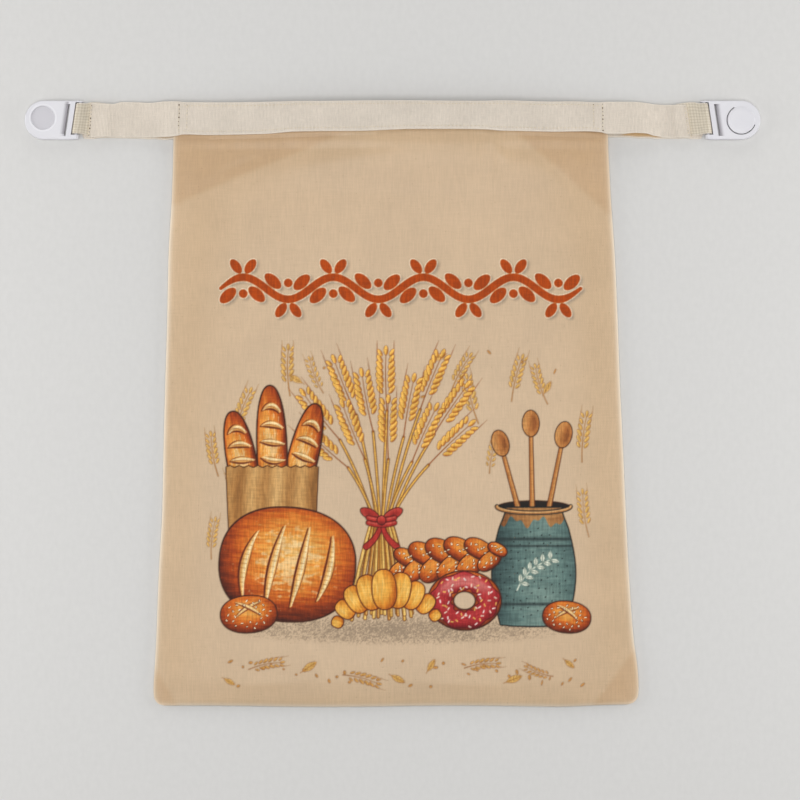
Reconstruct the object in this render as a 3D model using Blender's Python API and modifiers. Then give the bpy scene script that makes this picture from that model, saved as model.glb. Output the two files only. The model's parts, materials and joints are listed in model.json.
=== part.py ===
"""A cloth bread bag lying on its back, with a webbing band across its mouth.

The band runs out past both side seams as straps. Each strap ends in a sewn loop that holds one
half of a plastic snap buckle by its end bar. +X is to the right, +Y towards the mouth and +Z up
from the surface that the bag lies on. Tables are in millimetres, everything else in metres.
"""

import math

import bmesh
import bpy
import numpy as np
from mathutils import Matrix

MM = 0.001

# Cloth and webbing
CLOTH = 1.0 * MM
WEBBING = 1.5 * MM
WEBBING_WIDTH = 24.4 * MM
GAP = 0.3 * MM

# Outline of both panels: the side seams at each height
BOTTOM = -219.4 * MM
CORNER_RADIUS = 7.0 * MM
BOTTOM_WAVE = 0.5 * MM
WAVE_LENGTH = 30.0 * MM
# Columns: y, left, right
SEAMS = (
    (220.0, -159.0, 156.0),
    (190.0, -160.0, 157.0),
    (155.0, -160.6, 158.6),
    (107.0, -162.6, 161.3),
    (60.0, -163.6, 163.4),
    (14.0, -165.0, 165.0),
    (-32.0, -166.2, 167.2),
    (-78.0, -167.2, 169.2),
    (-125.0, -169.8, 171.6),
    (-171.0, -171.6, 175.0),
    (-194.0, -172.9, 178.0),
    (-207.0, -173.6, 178.7),
    (-220.0, -172.6, 177.6),
)

# Crown of the front panel above its seams, and how square it is at the sides
# Columns: y, rise, squareness
CROWN = (
    (-219.4, 0.0, 9.0),
    (-217.4, 1.8, 9.0),
    (-214.0, 3.5, 9.0),
    (-208.0, 5.3, 9.0),
    (-198.0, 6.9, 9.0),
    (-175.0, 8.3, 9.0),
    (-120.0, 9.3, 9.0),
    (-40.0, 10.1, 9.0),
    (50.0, 10.9, 8.5),
    (120.0, 12.3, 7.5),
    (160.0, 13.4, 6.5),
)

# Flat facets at the corners: each falls away to the left of its line, from the rise on the line
# Columns: from_x, from_y, to_x, to_y, rise, fall
FACETS = (
    (-157.0, 147.0, -94.0, 173.0, 12.0, 0.23),
    (108.0, 182.0, 156.0, 141.0, 12.0, 0.23),
    (178.0, -178.0, 148.0, -218.0, 7.4, 0.26),
    (-158.0, -219.0, -172.0, -196.0, 5.6, 0.26),
)
FACET_SOFTNESS = 0.7 * MM

# Soft hollows and swells of the front
# Columns: x, y, reach_x, reach_y, height
SWELLS = (
    (-88.0, 118.0, 46.0, 30.0, 0.7),
    (62.0, 128.0, 60.0, 26.0, -0.8),
    (-20.0, 40.0, 80.0, 34.0, 0.5),
    (118.0, 12.0, 30.0, 60.0, -0.6),
    (-120.0, -48.0, 28.0, 66.0, -0.7),
    (40.0, -96.0, 70.0, 40.0, 0.6),
    (-60.0, -168.0, 60.0, 22.0, -0.5),
    (104.0, -150.0, 40.0, 30.0, 0.5),
)
SWELL_FADE = 6.0 * MM

# The back panel: its turned seam is lifted a little, and it climbs over the back band
SEAM_LIFT = 1.2 * MM
SEAM_LIFT_REACH = 7.0 * MM
CLIMB_FROM = 183.0 * MM
CLIMB_TO = 191.0 * MM
BACK_MOUTH = 216.0 * MM

# Front band: its centre line, the height of its underside there, and its tilt across
# Columns: x, y, lift, tilt_deg
BAND = (
    (-224.0, 206.0, 3.6, 0.0),
    (-207.5, 205.9, 3.6, 0.0),
    (-200.0, 205.9, 1.9, 0.0),
    (-188.0, 205.8, 1.9, 0.0),
    (-176.0, 205.7, 2.6, 1.5),
    (-167.0, 205.6, 4.0, 3.0),
    (-160.0, 205.4, 5.4, 4.0),
    (-147.0, 205.3, 6.4, 7.0),
    (-128.0, 205.2, 7.7, 9.0),
    (-96.0, 205.5, 10.2, 12.0),
    (-45.0, 206.4, 13.4, 17.0),
    (0.0, 207.0, 14.2, 20.0),
    (40.0, 207.1, 14.2, 20.0),
    (80.0, 206.9, 13.2, 18.5),
    (108.0, 206.6, 11.6, 17.5),
    (130.0, 206.4, 9.4, 16.0),
    (145.0, 206.3, 7.9, 14.0),
    (157.0, 206.3, 7.1, 12.0),
    (168.0, 206.4, 6.2, 13.0),
    (180.0, 206.3, 5.1, 12.0),
    (190.0, 206.0, 3.1, 4.5),
    (198.0, 205.8, 1.9, 0.0),
    (202.0, 205.8, 2.2, 0.0),
    (206.5, 205.8, 3.6, 0.0),
    (222.0, 205.9, 3.6, 0.0),
)
BAND_ENDS = (-220.0 * MM, 215.1 * MM)
BAND_END_SLANTS = (0.02, -0.11)
UNDER_BAND = 0.4 * MM
MOUTH_INSET = 1.6 * MM
JOIN = 150.0 * MM
BAND_HOLD = 12.0

# Back band: where its centre line runs
# Columns: x, y
BACK_BAND = (
    (-234.0, 206.1),
    (-222.0, 206.1),
    (-204.0, 205.6),
    (-186.0, 205.2),
    (-165.0, 205.0),
    (165.0, 204.8),
    (190.0, 204.9),
    (204.0, 205.5),
    (222.0, 206.1),
    (234.0, 206.1),
)

# Strap loops, seen from the side: round the end bar, then down to a tail
BAR_RADIUS = 1.1 * MM
LOOP_RADIUS = BAR_RADIUS + GAP + WEBBING / 2
BAR_HEIGHT = LOOP_RADIUS + WEBBING / 2
LOOP_LEAN = math.radians(30.0)
LOOP_FOOT = 6.8 * MM
TAIL_LENGTH = 20.0 * MM
SLANT = 0.149
SLANT_REACH = 25.0 * MM

# Buckle halves: each end bar's middle, and the reach from it to the round end
BUCKLE_WIDTH = 28.2 * MM
BUCKLE_THICKNESS = 5.0 * MM
BUCKLE_Y = 206.1 * MM
SOCKET_BAR_X = -228.6 * MM
SOCKET_REACH = 38.5 * MM
BUTTON_BAR_X = 227.9 * MM
BUTTON_REACH = 39.2 * MM
LEG_WIDTH = 1.2 * MM
EDGE_ROUND = 0.9 * MM
MIDDLE_BAR = (3.3 * MM, 6.9 * MM)
SLOT = (6.9 * MM, 8.5 * MM)
SLOT_SIDE = 2.6 * MM
RAMP_LENGTH = 3.0 * MM
RAMP_DEPTH = 2.2 * MM
RECESS_RADIUS = 8.8 * MM
RECESS_FLOOR_RADIUS = 8.3 * MM
RECESS_DEPTH = 1.0 * MM
BUTTON_RADIUS = 10.0 * MM
BUTTON_GAP = 0.7 * MM
BUTTON_GAP_FROM = math.radians(119.0)
BUTTON_GAP_TO = math.radians(341.0)
BUTTON_DOME = 0.7 * MM
DOME_SQUARENESS = 0.35
PAST = 2.0 * MM

# How finely round shapes and grids are divided
END_STEPS = 33
KNUCKLE_SIDES = 32
BAR_SIDES = 16
DISC_SIDES = 48
GAP_STEPS = 36
DOME_RINGS = 6
LOOP_STEPS = 13
BACK_RUN_STEPS = 24
FRONT_BAND_ROWS = 64
BACK_GRID = (25, 15, 4)
FRONT_GRID = (33, 25, 7, 3)

# Finishes
TAN = (0.60, 0.46, 0.30)
CREAM = (0.64, 0.57, 0.48)
WHITE = (0.76, 0.75, 0.76)


def clear_scene():
    """Removes every object that the scene starts with."""
    for obj in list(bpy.data.objects):
        bpy.data.objects.remove(obj, do_unlink=True)


def collection(name):
    """A new collection in the scene."""
    made = bpy.data.collections.new(name)
    bpy.context.scene.collection.children.link(made)
    return made


def finish(name, colour, roughness):
    """A plain surface with one colour."""
    made = bpy.data.materials.new(name)
    made.use_nodes = True
    shader = made.node_tree.nodes["Principled BSDF"]
    shader.inputs["Base Color"].default_value = (*colour, 1.0)
    shader.inputs["Roughness"].default_value = roughness
    shader.inputs["Metallic"].default_value = 0.0
    return made


def along(table, at):
    """Each further column of a table, read at values of its first by a cubic that never overshoots."""
    rows = np.array(sorted(table), float)
    place, values = rows[:, 0], rows[:, 1:]
    steps = np.diff(place)[:, None]
    slopes = np.diff(values, axis=0) / steps
    before, after = slopes[:-1], slopes[1:]
    same_way = before * after > 0
    total = np.where(same_way, before + after, 1.0)
    inner = np.where(same_way, 2 * before * after / total, 0.0)
    tangents = np.vstack([slopes[:1], inner, slopes[-1:]])
    at = np.clip(np.asarray(at, float), place[0], place[-1])
    row = np.clip(np.searchsorted(place, at, side="right") - 1, 0, len(place) - 2)
    step = steps[row, 0]
    t = ((at - place[row]) / step)[..., None]
    step = step[..., None]
    start = (1 + 2 * t) * (1 - t) ** 2 * values[row] + t * (1 - t) ** 2 * step * tangents[row]
    end = t * t * (3 - 2 * t) * values[row + 1] + t * t * (t - 1) * step * tangents[row + 1]
    return start + end


def eased(value, low, high):
    """0 up to low and 1 from high, turning smoothly between them."""
    t = np.clip((value - low) / (high - low), 0.0, 1.0)
    return t * t * (3 - 2 * t)


def hermite(t, start, end, start_slope, end_slope, length):
    """A cubic from start to end over a length, with the given slopes at its ends."""
    rise = (1 + 2 * t) * (1 - t) ** 2 * start + t * t * (3 - 2 * t) * end
    turn = t * (1 - t) ** 2 * start_slope + t * t * (t - 1) * end_slope
    return rise + turn * length


def side_seams(y):
    """The left and right edge at a height, drawn in round the bottom corners."""
    edges = along(SEAMS, y / MM) * MM
    depth = np.clip(CORNER_RADIUS - (y - BOTTOM), 0.0, CORNER_RADIUS)
    inset = CORNER_RADIUS - np.sqrt(CORNER_RADIUS**2 - depth**2)
    return edges[..., 0] + inset, edges[..., 1] - inset


def across(s, y):
    """x at a share s of the half width, from -1 at the left seam to 1 at the right one."""
    left, right = side_seams(y)
    return (left + right) / 2 + s * (right - left) / 2


def band_edges(x):
    """The front band's underside at x: (y, z) of its lower edge and of its upper edge."""
    row = along(BAND, x / MM)
    y, lift, tilt = row[..., 0] * MM, row[..., 1] * MM, np.radians(row[..., 2])
    out, up = WEBBING_WIDTH / 2 * np.cos(tilt), WEBBING_WIDTH / 2 * np.sin(tilt)
    return (y - out, lift + up), (y + out, lift - up)


def back_height(s, y):
    """Mid-surface of the back panel: flat, lifted at its seams, and over the back band at the mouth."""
    climb = eased(y, CLIMB_FROM, CLIMB_TO)
    left, right = side_seams(y)
    from_side = (1 - np.abs(s)) * (right - left) / 2
    from_edge = np.minimum(from_side, y - BOTTOM)
    lift = SEAM_LIFT * np.exp(-((from_edge / SEAM_LIFT_REACH) ** 2))
    return CLOTH / 2 + climb * (WEBBING + GAP) + (1 - climb) * lift


def crown(s, y):
    """Rise of the front's body above the seams: high in the middle, square towards the sides."""
    row = along(CROWN, y / MM)
    return row[..., 0] * MM * (1 - np.abs(s) ** row[..., 1])


def lower_of(first, second):
    """The lower of two heights, with the crease between them softened."""
    half = (first - second) / 2
    return (first + second) / 2 - np.sqrt(half**2 + FACET_SOFTNESS**2)


def with_facets(rise, x, y):
    """The rise cut down by the flat facets at the corners."""
    for from_x, from_y, to_x, to_y, at_line, fall in FACETS:
        length = math.hypot(to_x - from_x, to_y - from_y)
        normal_x, normal_y = -(to_y - from_y) / length, (to_x - from_x) / length
        beyond = (x - from_x * MM) * normal_x + (y - from_y * MM) * normal_y
        rise = lower_of(rise, at_line * MM - fall * beyond)
    return rise


def swells(x, y):
    """Height of the soft hollows and swells at a place."""
    total = np.zeros_like(x)
    for middle_x, middle_y, reach_x, reach_y, height in SWELLS:
        away = ((x / MM - middle_x) / reach_x) ** 2 + ((y / MM - middle_y) / reach_y) ** 2
        total += height * MM * np.exp(-away)
    return total


def wavy_bottom(x, y):
    """The heights moved by the bottom edge's slight waves, which fade out upwards."""
    fade = np.clip((JOIN - y) / (JOIN - BOTTOM), 0.0, 1.0) ** 4
    return y + BOTTOM_WAVE * np.sin(x / WAVE_LENGTH) * fade


def spread(count, ease):
    """Shares from -1 to 1, closer together towards both ends."""
    even = np.linspace(-1.0, 1.0, count)
    return np.sign(even) * (1 - (1 - np.abs(even)) ** ease)


def front_panel_points(columns, body_rows, neck_rows, band_rows):
    """Mid-surface of the front panel as a grid, from the bottom seam to the mouth."""
    s = spread(columns, 1.5)[None, :]
    (low_y, _), (top_y, _) = band_edges(across(s, (CLIMB_TO + BACK_MOUTH) / 2))
    t = np.linspace(0.0, 1.0, body_rows)[:, None] ** 1.7
    body_y = BOTTOM + (JOIN - BOTTOM) * t + 0 * s
    t = np.linspace(0.0, 1.0, neck_rows + 1)[1:, None]
    neck_y = JOIN + (low_y - JOIN) * t
    t = np.linspace(0.0, 1.0, band_rows + 1)[1:, None]
    held_y = low_y + (top_y - MOUTH_INSET - low_y) * t
    y = np.vstack([body_y, neck_y, held_y])
    x = across(s, y)
    seam = back_height(s, y) + CLOTH + GAP

    (low_y, low_z), (top_y, top_z) = band_edges(x)
    hold = 1 - np.abs(s) ** BAND_HOLD
    share = (y - low_y) / (top_y - low_y)
    level = (1 - share) * low_z + share * top_z - UNDER_BAND - CLOTH / 2
    held = np.maximum(level - seam, 0.0) * hold
    at_low = np.maximum(low_z - UNDER_BAND - CLOTH / 2 - seam, 0.0) * hold
    band_slope = (top_z - low_z) / (top_y - low_y) * hold

    body = crown(s, np.minimum(y, JOIN))
    body_slope = (crown(s, JOIN) - crown(s, JOIN - MM)) / MM
    neck = np.clip((y - JOIN) / (low_y - JOIN), 0.0, 1.0)
    rise = hermite(neck, body, at_low, body_slope, band_slope, low_y - JOIN)
    from_seam = np.minimum(crown(s, np.minimum(y, JOIN)) / SWELL_FADE, 1.0)
    rise = with_facets(rise, x, y) + swells(x, y) * (1 - neck) * from_seam
    rise = np.where(y > low_y, held, np.maximum(rise, 0.0))
    return np.stack([x, wavy_bottom(x, y), seam + rise], axis=-1)


def back_panel_points(columns, rows, climb_rows):
    """Mid-surface of the back panel as a grid, from the bottom seam to the mouth."""
    s = spread(columns, 1.8)[None, :]
    low = BOTTOM + (CLIMB_FROM - BOTTOM) * (1 + spread(2 * rows - 1, 1.8)[:rows])
    high = np.linspace(CLIMB_FROM, CLIMB_TO, climb_rows + 1)[1:]
    y = np.concatenate([low, high, [BACK_MOUTH]])[:, None] + 0 * s
    x = across(s, y)
    return np.stack([x, wavy_bottom(x, y), back_height(s, y)], axis=-1)


def front_band_points(rows):
    """Mid-surface of the front band: straight across its width, along the band's table."""
    left, right = BAND_ENDS
    x = np.linspace(left, right, rows)[:, None]
    share = np.linspace(0.0, 1.0, 3)[None, :]
    (low_y, low_z), (top_y, top_z) = band_edges(x)
    y = low_y + (top_y - low_y) * share
    z = low_z + (top_z - low_z) * share + WEBBING / 2
    from_middle = (share - 0.5) * WEBBING_WIDTH
    near_left = eased(-x, -left - SLANT_REACH, -left)
    near_right = eased(x, right - SLANT_REACH, right)
    slant = near_left * BAND_END_SLANTS[0] + near_right * BAND_END_SLANTS[1]
    return np.stack([x + slant * from_middle, y, z], axis=-1)


def loop_path(steps):
    """Side view of a strap's end, outwards from the bar's axis: tail, slope, round the bar, underside."""
    tail_z = WEBBING + GAP + WEBBING / 2
    angles = np.linspace(math.pi / 2 + LOOP_LEAN, -math.pi / 2, steps)
    ring = np.stack([LOOP_RADIUS * np.cos(angles), BAR_HEIGHT + LOOP_RADIUS * np.sin(angles)], axis=-1)
    foot = np.array([-LOOP_FOOT, tail_z])
    run = ring[0, 0] - foot[0]
    t = np.linspace(0.0, 1.0, steps // 2)[:-1]
    slope_z = hermite(t, foot[1], ring[0, 1], 0.0, math.tan(LOOP_LEAN), run)
    slope = np.stack([foot[0] + t * run, slope_z], axis=-1)
    tail = np.array([[-TAIL_LENGTH, tail_z], [(-TAIL_LENGTH - LOOP_FOOT) / 2, tail_z]])
    return np.vstack([tail, slope, ring])


def back_band_points(loop_steps, run_steps):
    """Mid-surface of the back band: a loop at each end and a flat run on the surface between them."""
    path = loop_path(loop_steps)
    left = np.stack([SOCKET_BAR_X - path[:, 0], path[:, 1]], axis=-1)
    right = np.stack([BUTTON_BAR_X + path[:, 0], path[:, 1]], axis=-1)[::-1]
    flat_x = np.linspace(SOCKET_BAR_X, BUTTON_BAR_X, run_steps)[1:-1]
    flat = np.stack([flat_x, np.full_like(flat_x, WEBBING / 2)], axis=-1)
    section = np.vstack([left, flat, right])
    x, z = section[:, :1], section[:, 1:]
    from_middle = (np.linspace(0.0, 1.0, 2)[None, :] - 0.5) * WEBBING_WIDTH
    on_top = z > WEBBING + GAP
    near_left = np.where(on_top, x < 0, eased(-x, -SOCKET_BAR_X - SLANT_REACH, -SOCKET_BAR_X))
    near_right = np.where(on_top, x > 0, eased(x, BUTTON_BAR_X - SLANT_REACH, BUTTON_BAR_X))
    slanted_x = x + SLANT * from_middle * (near_left - near_right)
    y = along(BACK_BAND, x / MM)[..., 0] * MM + from_middle
    return np.stack([slanted_x, y, z + 0 * y], axis=-1)


def link(name, mesh, into, material):
    """A new object in a collection."""
    obj = bpy.data.objects.new(name, mesh)
    mesh.materials.append(material)
    into.objects.link(obj)
    return obj


def sheet(name, points, thickness, material, into):
    """A cloth sheet: a grid of points on its mid-surface, given its thickness by Solidify."""
    rows, columns = points.shape[:2]
    index = np.arange(rows * columns).reshape(rows, columns)
    corners = (index[:-1, :-1], index[:-1, 1:], index[1:, 1:], index[1:, :-1])
    faces = np.stack([corner.ravel() for corner in corners], axis=-1)
    mesh = bpy.data.meshes.new(name)
    mesh.from_pydata(points.reshape(-1, 3).tolist(), [], faces.tolist())
    mesh.shade_smooth()
    obj = link(name, mesh, into, material)
    wall = obj.modifiers.new("thickness", "SOLIDIFY")
    wall.thickness = thickness
    wall.offset = 0.0
    wall.use_even_offset = True
    return obj


def mesh_of(name, build):
    """A mesh filled by a function that works on a bmesh."""
    shape = bmesh.new()
    build(shape)
    mesh = bpy.data.meshes.new(name)
    shape.to_mesh(mesh)
    shape.free()
    return mesh


def slanted(y):
    """How far the end bar's slant moves a point outwards at a distance y from the buckle's middle."""
    return -SLANT * y


def block(name, low, high, lean=0.0):
    """A box between two corners, slanted like the bars, its floor sloping by lean over its length."""

    def build(shape):
        bmesh.ops.create_cube(shape, size=1.0)
        for vertex in shape.verts:
            end = [high[i] if vertex.co[i] > 0 else low[i] for i in range(3)]
            if vertex.co.x > 0 and vertex.co.z < 0:
                end[2] += lean
            vertex.co = (end[0] + slanted(end[1]), end[1], end[2])

    return mesh_of(name, build)


def rod(name, radius, length, height, sides):
    """A round bar along Y through the joint's axis, slanted like the bars."""

    def build(shape):
        bmesh.ops.create_cone(
            shape, cap_ends=True, segments=sides, radius1=radius, radius2=radius, depth=length
        )
        bmesh.ops.transform(shape, matrix=Matrix.Rotation(math.pi / 2, 4, "X"), verts=shape.verts)
        for vertex in shape.verts:
            vertex.co.x += slanted(vertex.co.y)
            vertex.co.z += height

    return mesh_of(name, build)


def plate(name, reach):
    """The buckle's flat outline as one face: straight sides and a full round end."""
    radius = BUCKLE_WIDTH / 2
    angles = np.linspace(-math.pi / 2, math.pi / 2, END_STEPS)
    outline = [(slanted(-radius), -radius)]
    outline += [(reach - radius + radius * math.cos(a), radius * math.sin(a)) for a in angles]
    outline += [(slanted(radius), radius)]

    def build(shape):
        shape.faces.new([shape.verts.new((x, y, 0.0)) for x, y in outline])

    return mesh_of(name, build)


def disc(name, centre, low_radius, high_radius, low, high):
    """An upright round plug between two heights."""

    def build(shape):
        bmesh.ops.create_cone(
            shape,
            cap_ends=True,
            segments=DISC_SIDES,
            radius1=low_radius,
            radius2=high_radius,
            depth=high - low,
        )
        bmesh.ops.translate(shape, vec=(centre, 0.0, (low + high) / 2), verts=shape.verts)

    return mesh_of(name, build)


def arc_wall(name, centre, inner, outer, start, end, low, high):
    """An upright wall along an arc, closed at both ends."""
    angles = np.linspace(start, end, GAP_STEPS + 1)
    section = ((inner, low), (outer, low), (outer, high), (inner, high))

    def build(shape):
        rings = [
            [shape.verts.new((centre + r * math.cos(a), r * math.sin(a), z)) for r, z in section]
            for a in angles
        ]
        for ring, following in zip(rings, rings[1:]):
            for i in range(4):
                j = (i + 1) % 4
                shape.faces.new((ring[i], ring[j], following[j], following[i]))
        shape.faces.new(rings[0])
        shape.faces.new(rings[-1])
        bmesh.ops.recalc_face_normals(shape, faces=shape.faces)

    return mesh_of(name, build)


def dome(name, centre, radius, rise, foot):
    """A low round dome with a foot below it, turned from a profile."""
    rises = [math.pi / 2 * i / DOME_RINGS for i in range(DOME_RINGS)]
    profile = [(radius, -foot)]
    profile += [(radius * math.cos(a) ** DOME_SQUARENESS, rise * math.sin(a)) for a in rises]
    turns = [2 * math.pi * k / DISC_SIDES for k in range(DISC_SIDES)]

    def build(shape):
        rings = [
            [shape.verts.new((centre + r * math.cos(a), r * math.sin(a), z)) for a in turns]
            for r, z in profile
        ]
        for ring, following in zip(rings, rings[1:]):
            for i in range(DISC_SIDES):
                j = (i + 1) % DISC_SIDES
                shape.faces.new((ring[i], ring[j], following[j], following[i]))
        shape.faces.new(rings[0][::-1])
        shape.faces.new(rings[-1])
        bmesh.ops.recalc_face_normals(shape, faces=shape.faces)

    return mesh_of(name, build)


def boolean(obj, tool_mesh, operation, cutters, material):
    """Joins or cuts an object with a hidden tool that shares its place."""
    tool = link(tool_mesh.name, tool_mesh, cutters, material)
    tool.location, tool.scale = obj.location, obj.scale
    tool.hide_render = True
    tool.display_type = "WIRE"
    step = obj.modifiers.new(tool_mesh.name, "BOOLEAN")
    step.operation = operation
    step.object = tool


def buckle_half(name, bar_x, reach, into, cutters, material):
    """The plate, legs, middle bar and end bar that both halves share, its origin on the bar's axis."""
    top = BUCKLE_THICKNESS - BAR_HEIGHT
    bottom = -BAR_HEIGHT
    inner = BUCKLE_WIDTH / 2 - LEG_WIDTH
    middle = (top + bottom) / 2
    obj = link(name, plate(name, reach), into, material)
    obj.location = (bar_x, BUCKLE_Y, BAR_HEIGHT)
    obj.data.transform(Matrix.Translation((0.0, 0.0, middle)))
    wall = obj.modifiers.new("thickness", "SOLIDIFY")
    wall.thickness = BUCKLE_THICKNESS
    wall.offset = 0.0
    edges = obj.modifiers.new("round_edges", "BEVEL")
    edges.width = EDGE_ROUND
    edges.segments = 3
    edges.limit_method = "ANGLE"
    width = BUCKLE_WIDTH - EDGE_ROUND
    knuckle = rod(f"{name}_knuckle", BUCKLE_THICKNESS / 2, width, middle, KNUCKLE_SIDES)
    boolean(obj, knuckle, "UNION", cutters, material)
    window = block(
        f"{name}_window",
        (-PAST - BUCKLE_THICKNESS, -inner, bottom - PAST),
        (MIDDLE_BAR[0], inner, top + PAST),
    )
    boolean(obj, window, "DIFFERENCE", cutters, material)
    bar = rod(f"{name}_end_bar", BAR_RADIUS, BUCKLE_WIDTH - LEG_WIDTH, 0.0, BAR_SIDES)
    boolean(obj, bar, "UNION", cutters, material)
    slot_reach = BUCKLE_WIDTH / 2 - SLOT_SIDE
    slot = block(
        f"{name}_slot", (SLOT[0], -slot_reach, bottom - PAST), (SLOT[1], slot_reach, top + PAST)
    )
    boolean(obj, slot, "DIFFERENCE", cutters, material)
    ramp = block(
        f"{name}_ramp",
        (SLOT[0] + GAP, -slot_reach, top - RAMP_DEPTH),
        (SLOT[1] + RAMP_LENGTH, slot_reach, top + PAST),
        lean=RAMP_DEPTH,
    )
    boolean(obj, ramp, "DIFFERENCE", cutters, material)
    return obj


def socket_half(into, cutters, material):
    """The left half: a shallow round recess in its round end."""
    name = "socket_half"
    obj = buckle_half(name, SOCKET_BAR_X, SOCKET_REACH, into, cutters, material)
    top = BUCKLE_THICKNESS - BAR_HEIGHT
    centre = SOCKET_REACH - BUCKLE_WIDTH / 2
    widen = (RECESS_RADIUS - RECESS_FLOOR_RADIUS) / RECESS_DEPTH
    rim = RECESS_RADIUS + widen * PAST
    recess = disc(f"{name}_recess", centre, RECESS_FLOOR_RADIUS, rim, top - RECESS_DEPTH, top + PAST)
    boolean(obj, recess, "DIFFERENCE", cutters, material)
    return obj


def button_half(into, cutters, material):
    """The right half: a domed button, cut free of the plate along most of its edge."""
    name = "button_half"
    obj = buckle_half(name, BUTTON_BAR_X, BUTTON_REACH, into, cutters, material)
    top = BUCKLE_THICKNESS - BAR_HEIGHT
    centre = BUTTON_REACH - BUCKLE_WIDTH / 2
    cap = dome(f"{name}_cap", centre, BUTTON_RADIUS, BUTTON_DOME, BUCKLE_THICKNESS / 2)
    cap.transform(Matrix.Translation((0.0, 0.0, top)))
    boolean(obj, cap, "UNION", cutters, material)
    gap = arc_wall(
        f"{name}_gap",
        centre,
        BUTTON_RADIUS,
        BUTTON_RADIUS + BUTTON_GAP,
        BUTTON_GAP_FROM,
        BUTTON_GAP_TO,
        -BAR_HEIGHT - PAST,
        top + PAST,
    )
    boolean(obj, gap, "DIFFERENCE", cutters, material)
    return obj


def face_left(obj):
    """Turns a finished half into its mirror image, so that its round end points to -X."""
    bpy.context.view_layer.update()
    graph = bpy.context.evaluated_depsgraph_get()
    mesh = bpy.data.meshes.new_from_object(obj.evaluated_get(graph))
    mesh.name = obj.name
    mesh.transform(Matrix.Scale(-1.0, 4, (1.0, 0.0, 0.0)))
    mesh.flip_normals()
    tools = [step.object for step in obj.modifiers if step.type == "BOOLEAN"]
    obj.modifiers.clear()
    obj.data = mesh
    for tool in tools:
        bpy.data.objects.remove(tool, do_unlink=True)


def main():
    """Builds the bag's six pieces."""
    clear_scene()
    bag = collection("bread_bag")
    cutters = collection("cutters")
    cutters.hide_render = True
    cloth = finish("tan_twill", TAN, 0.8)
    webbing = finish("cream_webbing", CREAM, 0.85)
    plastic = finish("white_plastic", WHITE, 0.35)
    sheet("back_panel", back_panel_points(*BACK_GRID), CLOTH, cloth, bag)
    sheet("front_panel", front_panel_points(*FRONT_GRID), CLOTH, cloth, bag)
    sheet("back_band", back_band_points(LOOP_STEPS, BACK_RUN_STEPS), WEBBING, webbing, bag)
    sheet("front_band", front_band_points(FRONT_BAND_ROWS), WEBBING, webbing, bag)
    face_left(socket_half(bag, cutters, plastic))
    button_half(bag, cutters, plastic)


main()
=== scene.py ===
"""Looks of a cloth bread bag that lies on its back on a pale floor, seen from straight above.

The bag is two twill panels with a cotton webbing band round the mouth. The band runs out as straps,
each sewn into a loop round the end bar of a white snap buckle half. Lengths in the tables and in the
print are in millimetres, all others in metres. +X is right, +Y is towards the mouth, +Z is up.
"""

import json
import logging
import math
from dataclasses import dataclass
from enum import Enum
from typing import Any, Callable, Sequence

import bmesh
import bpy
import numpy as np
from bpy.types import Material, Mesh, Node, NodeSocket, NodeTree, Object
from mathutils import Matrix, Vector
from numpy.typing import NDArray

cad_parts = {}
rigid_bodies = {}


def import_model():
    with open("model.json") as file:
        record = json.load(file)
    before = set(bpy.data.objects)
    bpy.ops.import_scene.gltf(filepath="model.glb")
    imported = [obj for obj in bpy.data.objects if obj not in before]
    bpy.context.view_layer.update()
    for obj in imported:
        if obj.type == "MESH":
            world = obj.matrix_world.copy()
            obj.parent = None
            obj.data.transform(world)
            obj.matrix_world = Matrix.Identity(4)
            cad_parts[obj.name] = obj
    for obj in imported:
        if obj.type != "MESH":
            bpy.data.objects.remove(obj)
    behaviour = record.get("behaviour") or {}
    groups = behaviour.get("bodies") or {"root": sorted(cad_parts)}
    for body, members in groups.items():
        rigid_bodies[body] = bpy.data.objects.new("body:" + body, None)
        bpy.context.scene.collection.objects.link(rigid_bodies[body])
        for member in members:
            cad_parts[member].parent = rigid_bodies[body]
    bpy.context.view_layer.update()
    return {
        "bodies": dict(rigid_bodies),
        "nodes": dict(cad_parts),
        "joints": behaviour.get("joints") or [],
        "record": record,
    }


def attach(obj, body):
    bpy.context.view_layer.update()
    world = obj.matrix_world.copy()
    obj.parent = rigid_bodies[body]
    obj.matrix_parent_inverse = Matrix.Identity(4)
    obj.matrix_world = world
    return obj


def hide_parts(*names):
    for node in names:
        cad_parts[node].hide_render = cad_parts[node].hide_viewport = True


Array = NDArray[np.float64]
Faces = NDArray[np.int64]
Pair = tuple[float, float]
Triple = tuple[float, float, float]
Row = Sequence[float]
Rows = Sequence[Row]
LOG = logging.getLogger("bread_bag")
MM = 0.001
WEBBING_WIDTH = 24.4 * MM
BAR_SLANT = 0.149
GOLDEN_ANGLE = 137.508


class Body(Enum):
    """The bodies that pieces ride on."""

    BAG = "bag"
    SOCKET = "socket"
    BUTTON = "button"


class Slot(Enum):
    """The material slots of the part."""

    TWILL = "twill"
    PLAIN_TWILL = "plain_twill"
    WEBBING = "webbing"
    PLASTIC = "plastic"


def to_light(screen: Array) -> Array:
    """Linear light from screen values of 0 to 255, by the sRGB curve."""
    shares = np.clip(np.asarray(screen, float) / 255, 0.0, 1.0)
    return np.where(shares <= 0.04045, shares / 12.92, ((shares + 0.055) / 1.055) ** 2.4)


def linear(red: float, green: float, blue: float) -> tuple[float, float, float, float]:
    """A colour for a shader, linear and with an alpha of 1, from its screen values."""
    return (*to_light((red, green, blue)).tolist(), 1.0)


def eased(value: Array, low: float, high: float) -> Array:
    """0 up to low and 1 from high, by 3t squared minus 2t cubed between them."""
    t = np.clip((value - low) / (high - low), 0.0, 1.0)
    return t * t * (3 - 2 * t)


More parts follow.
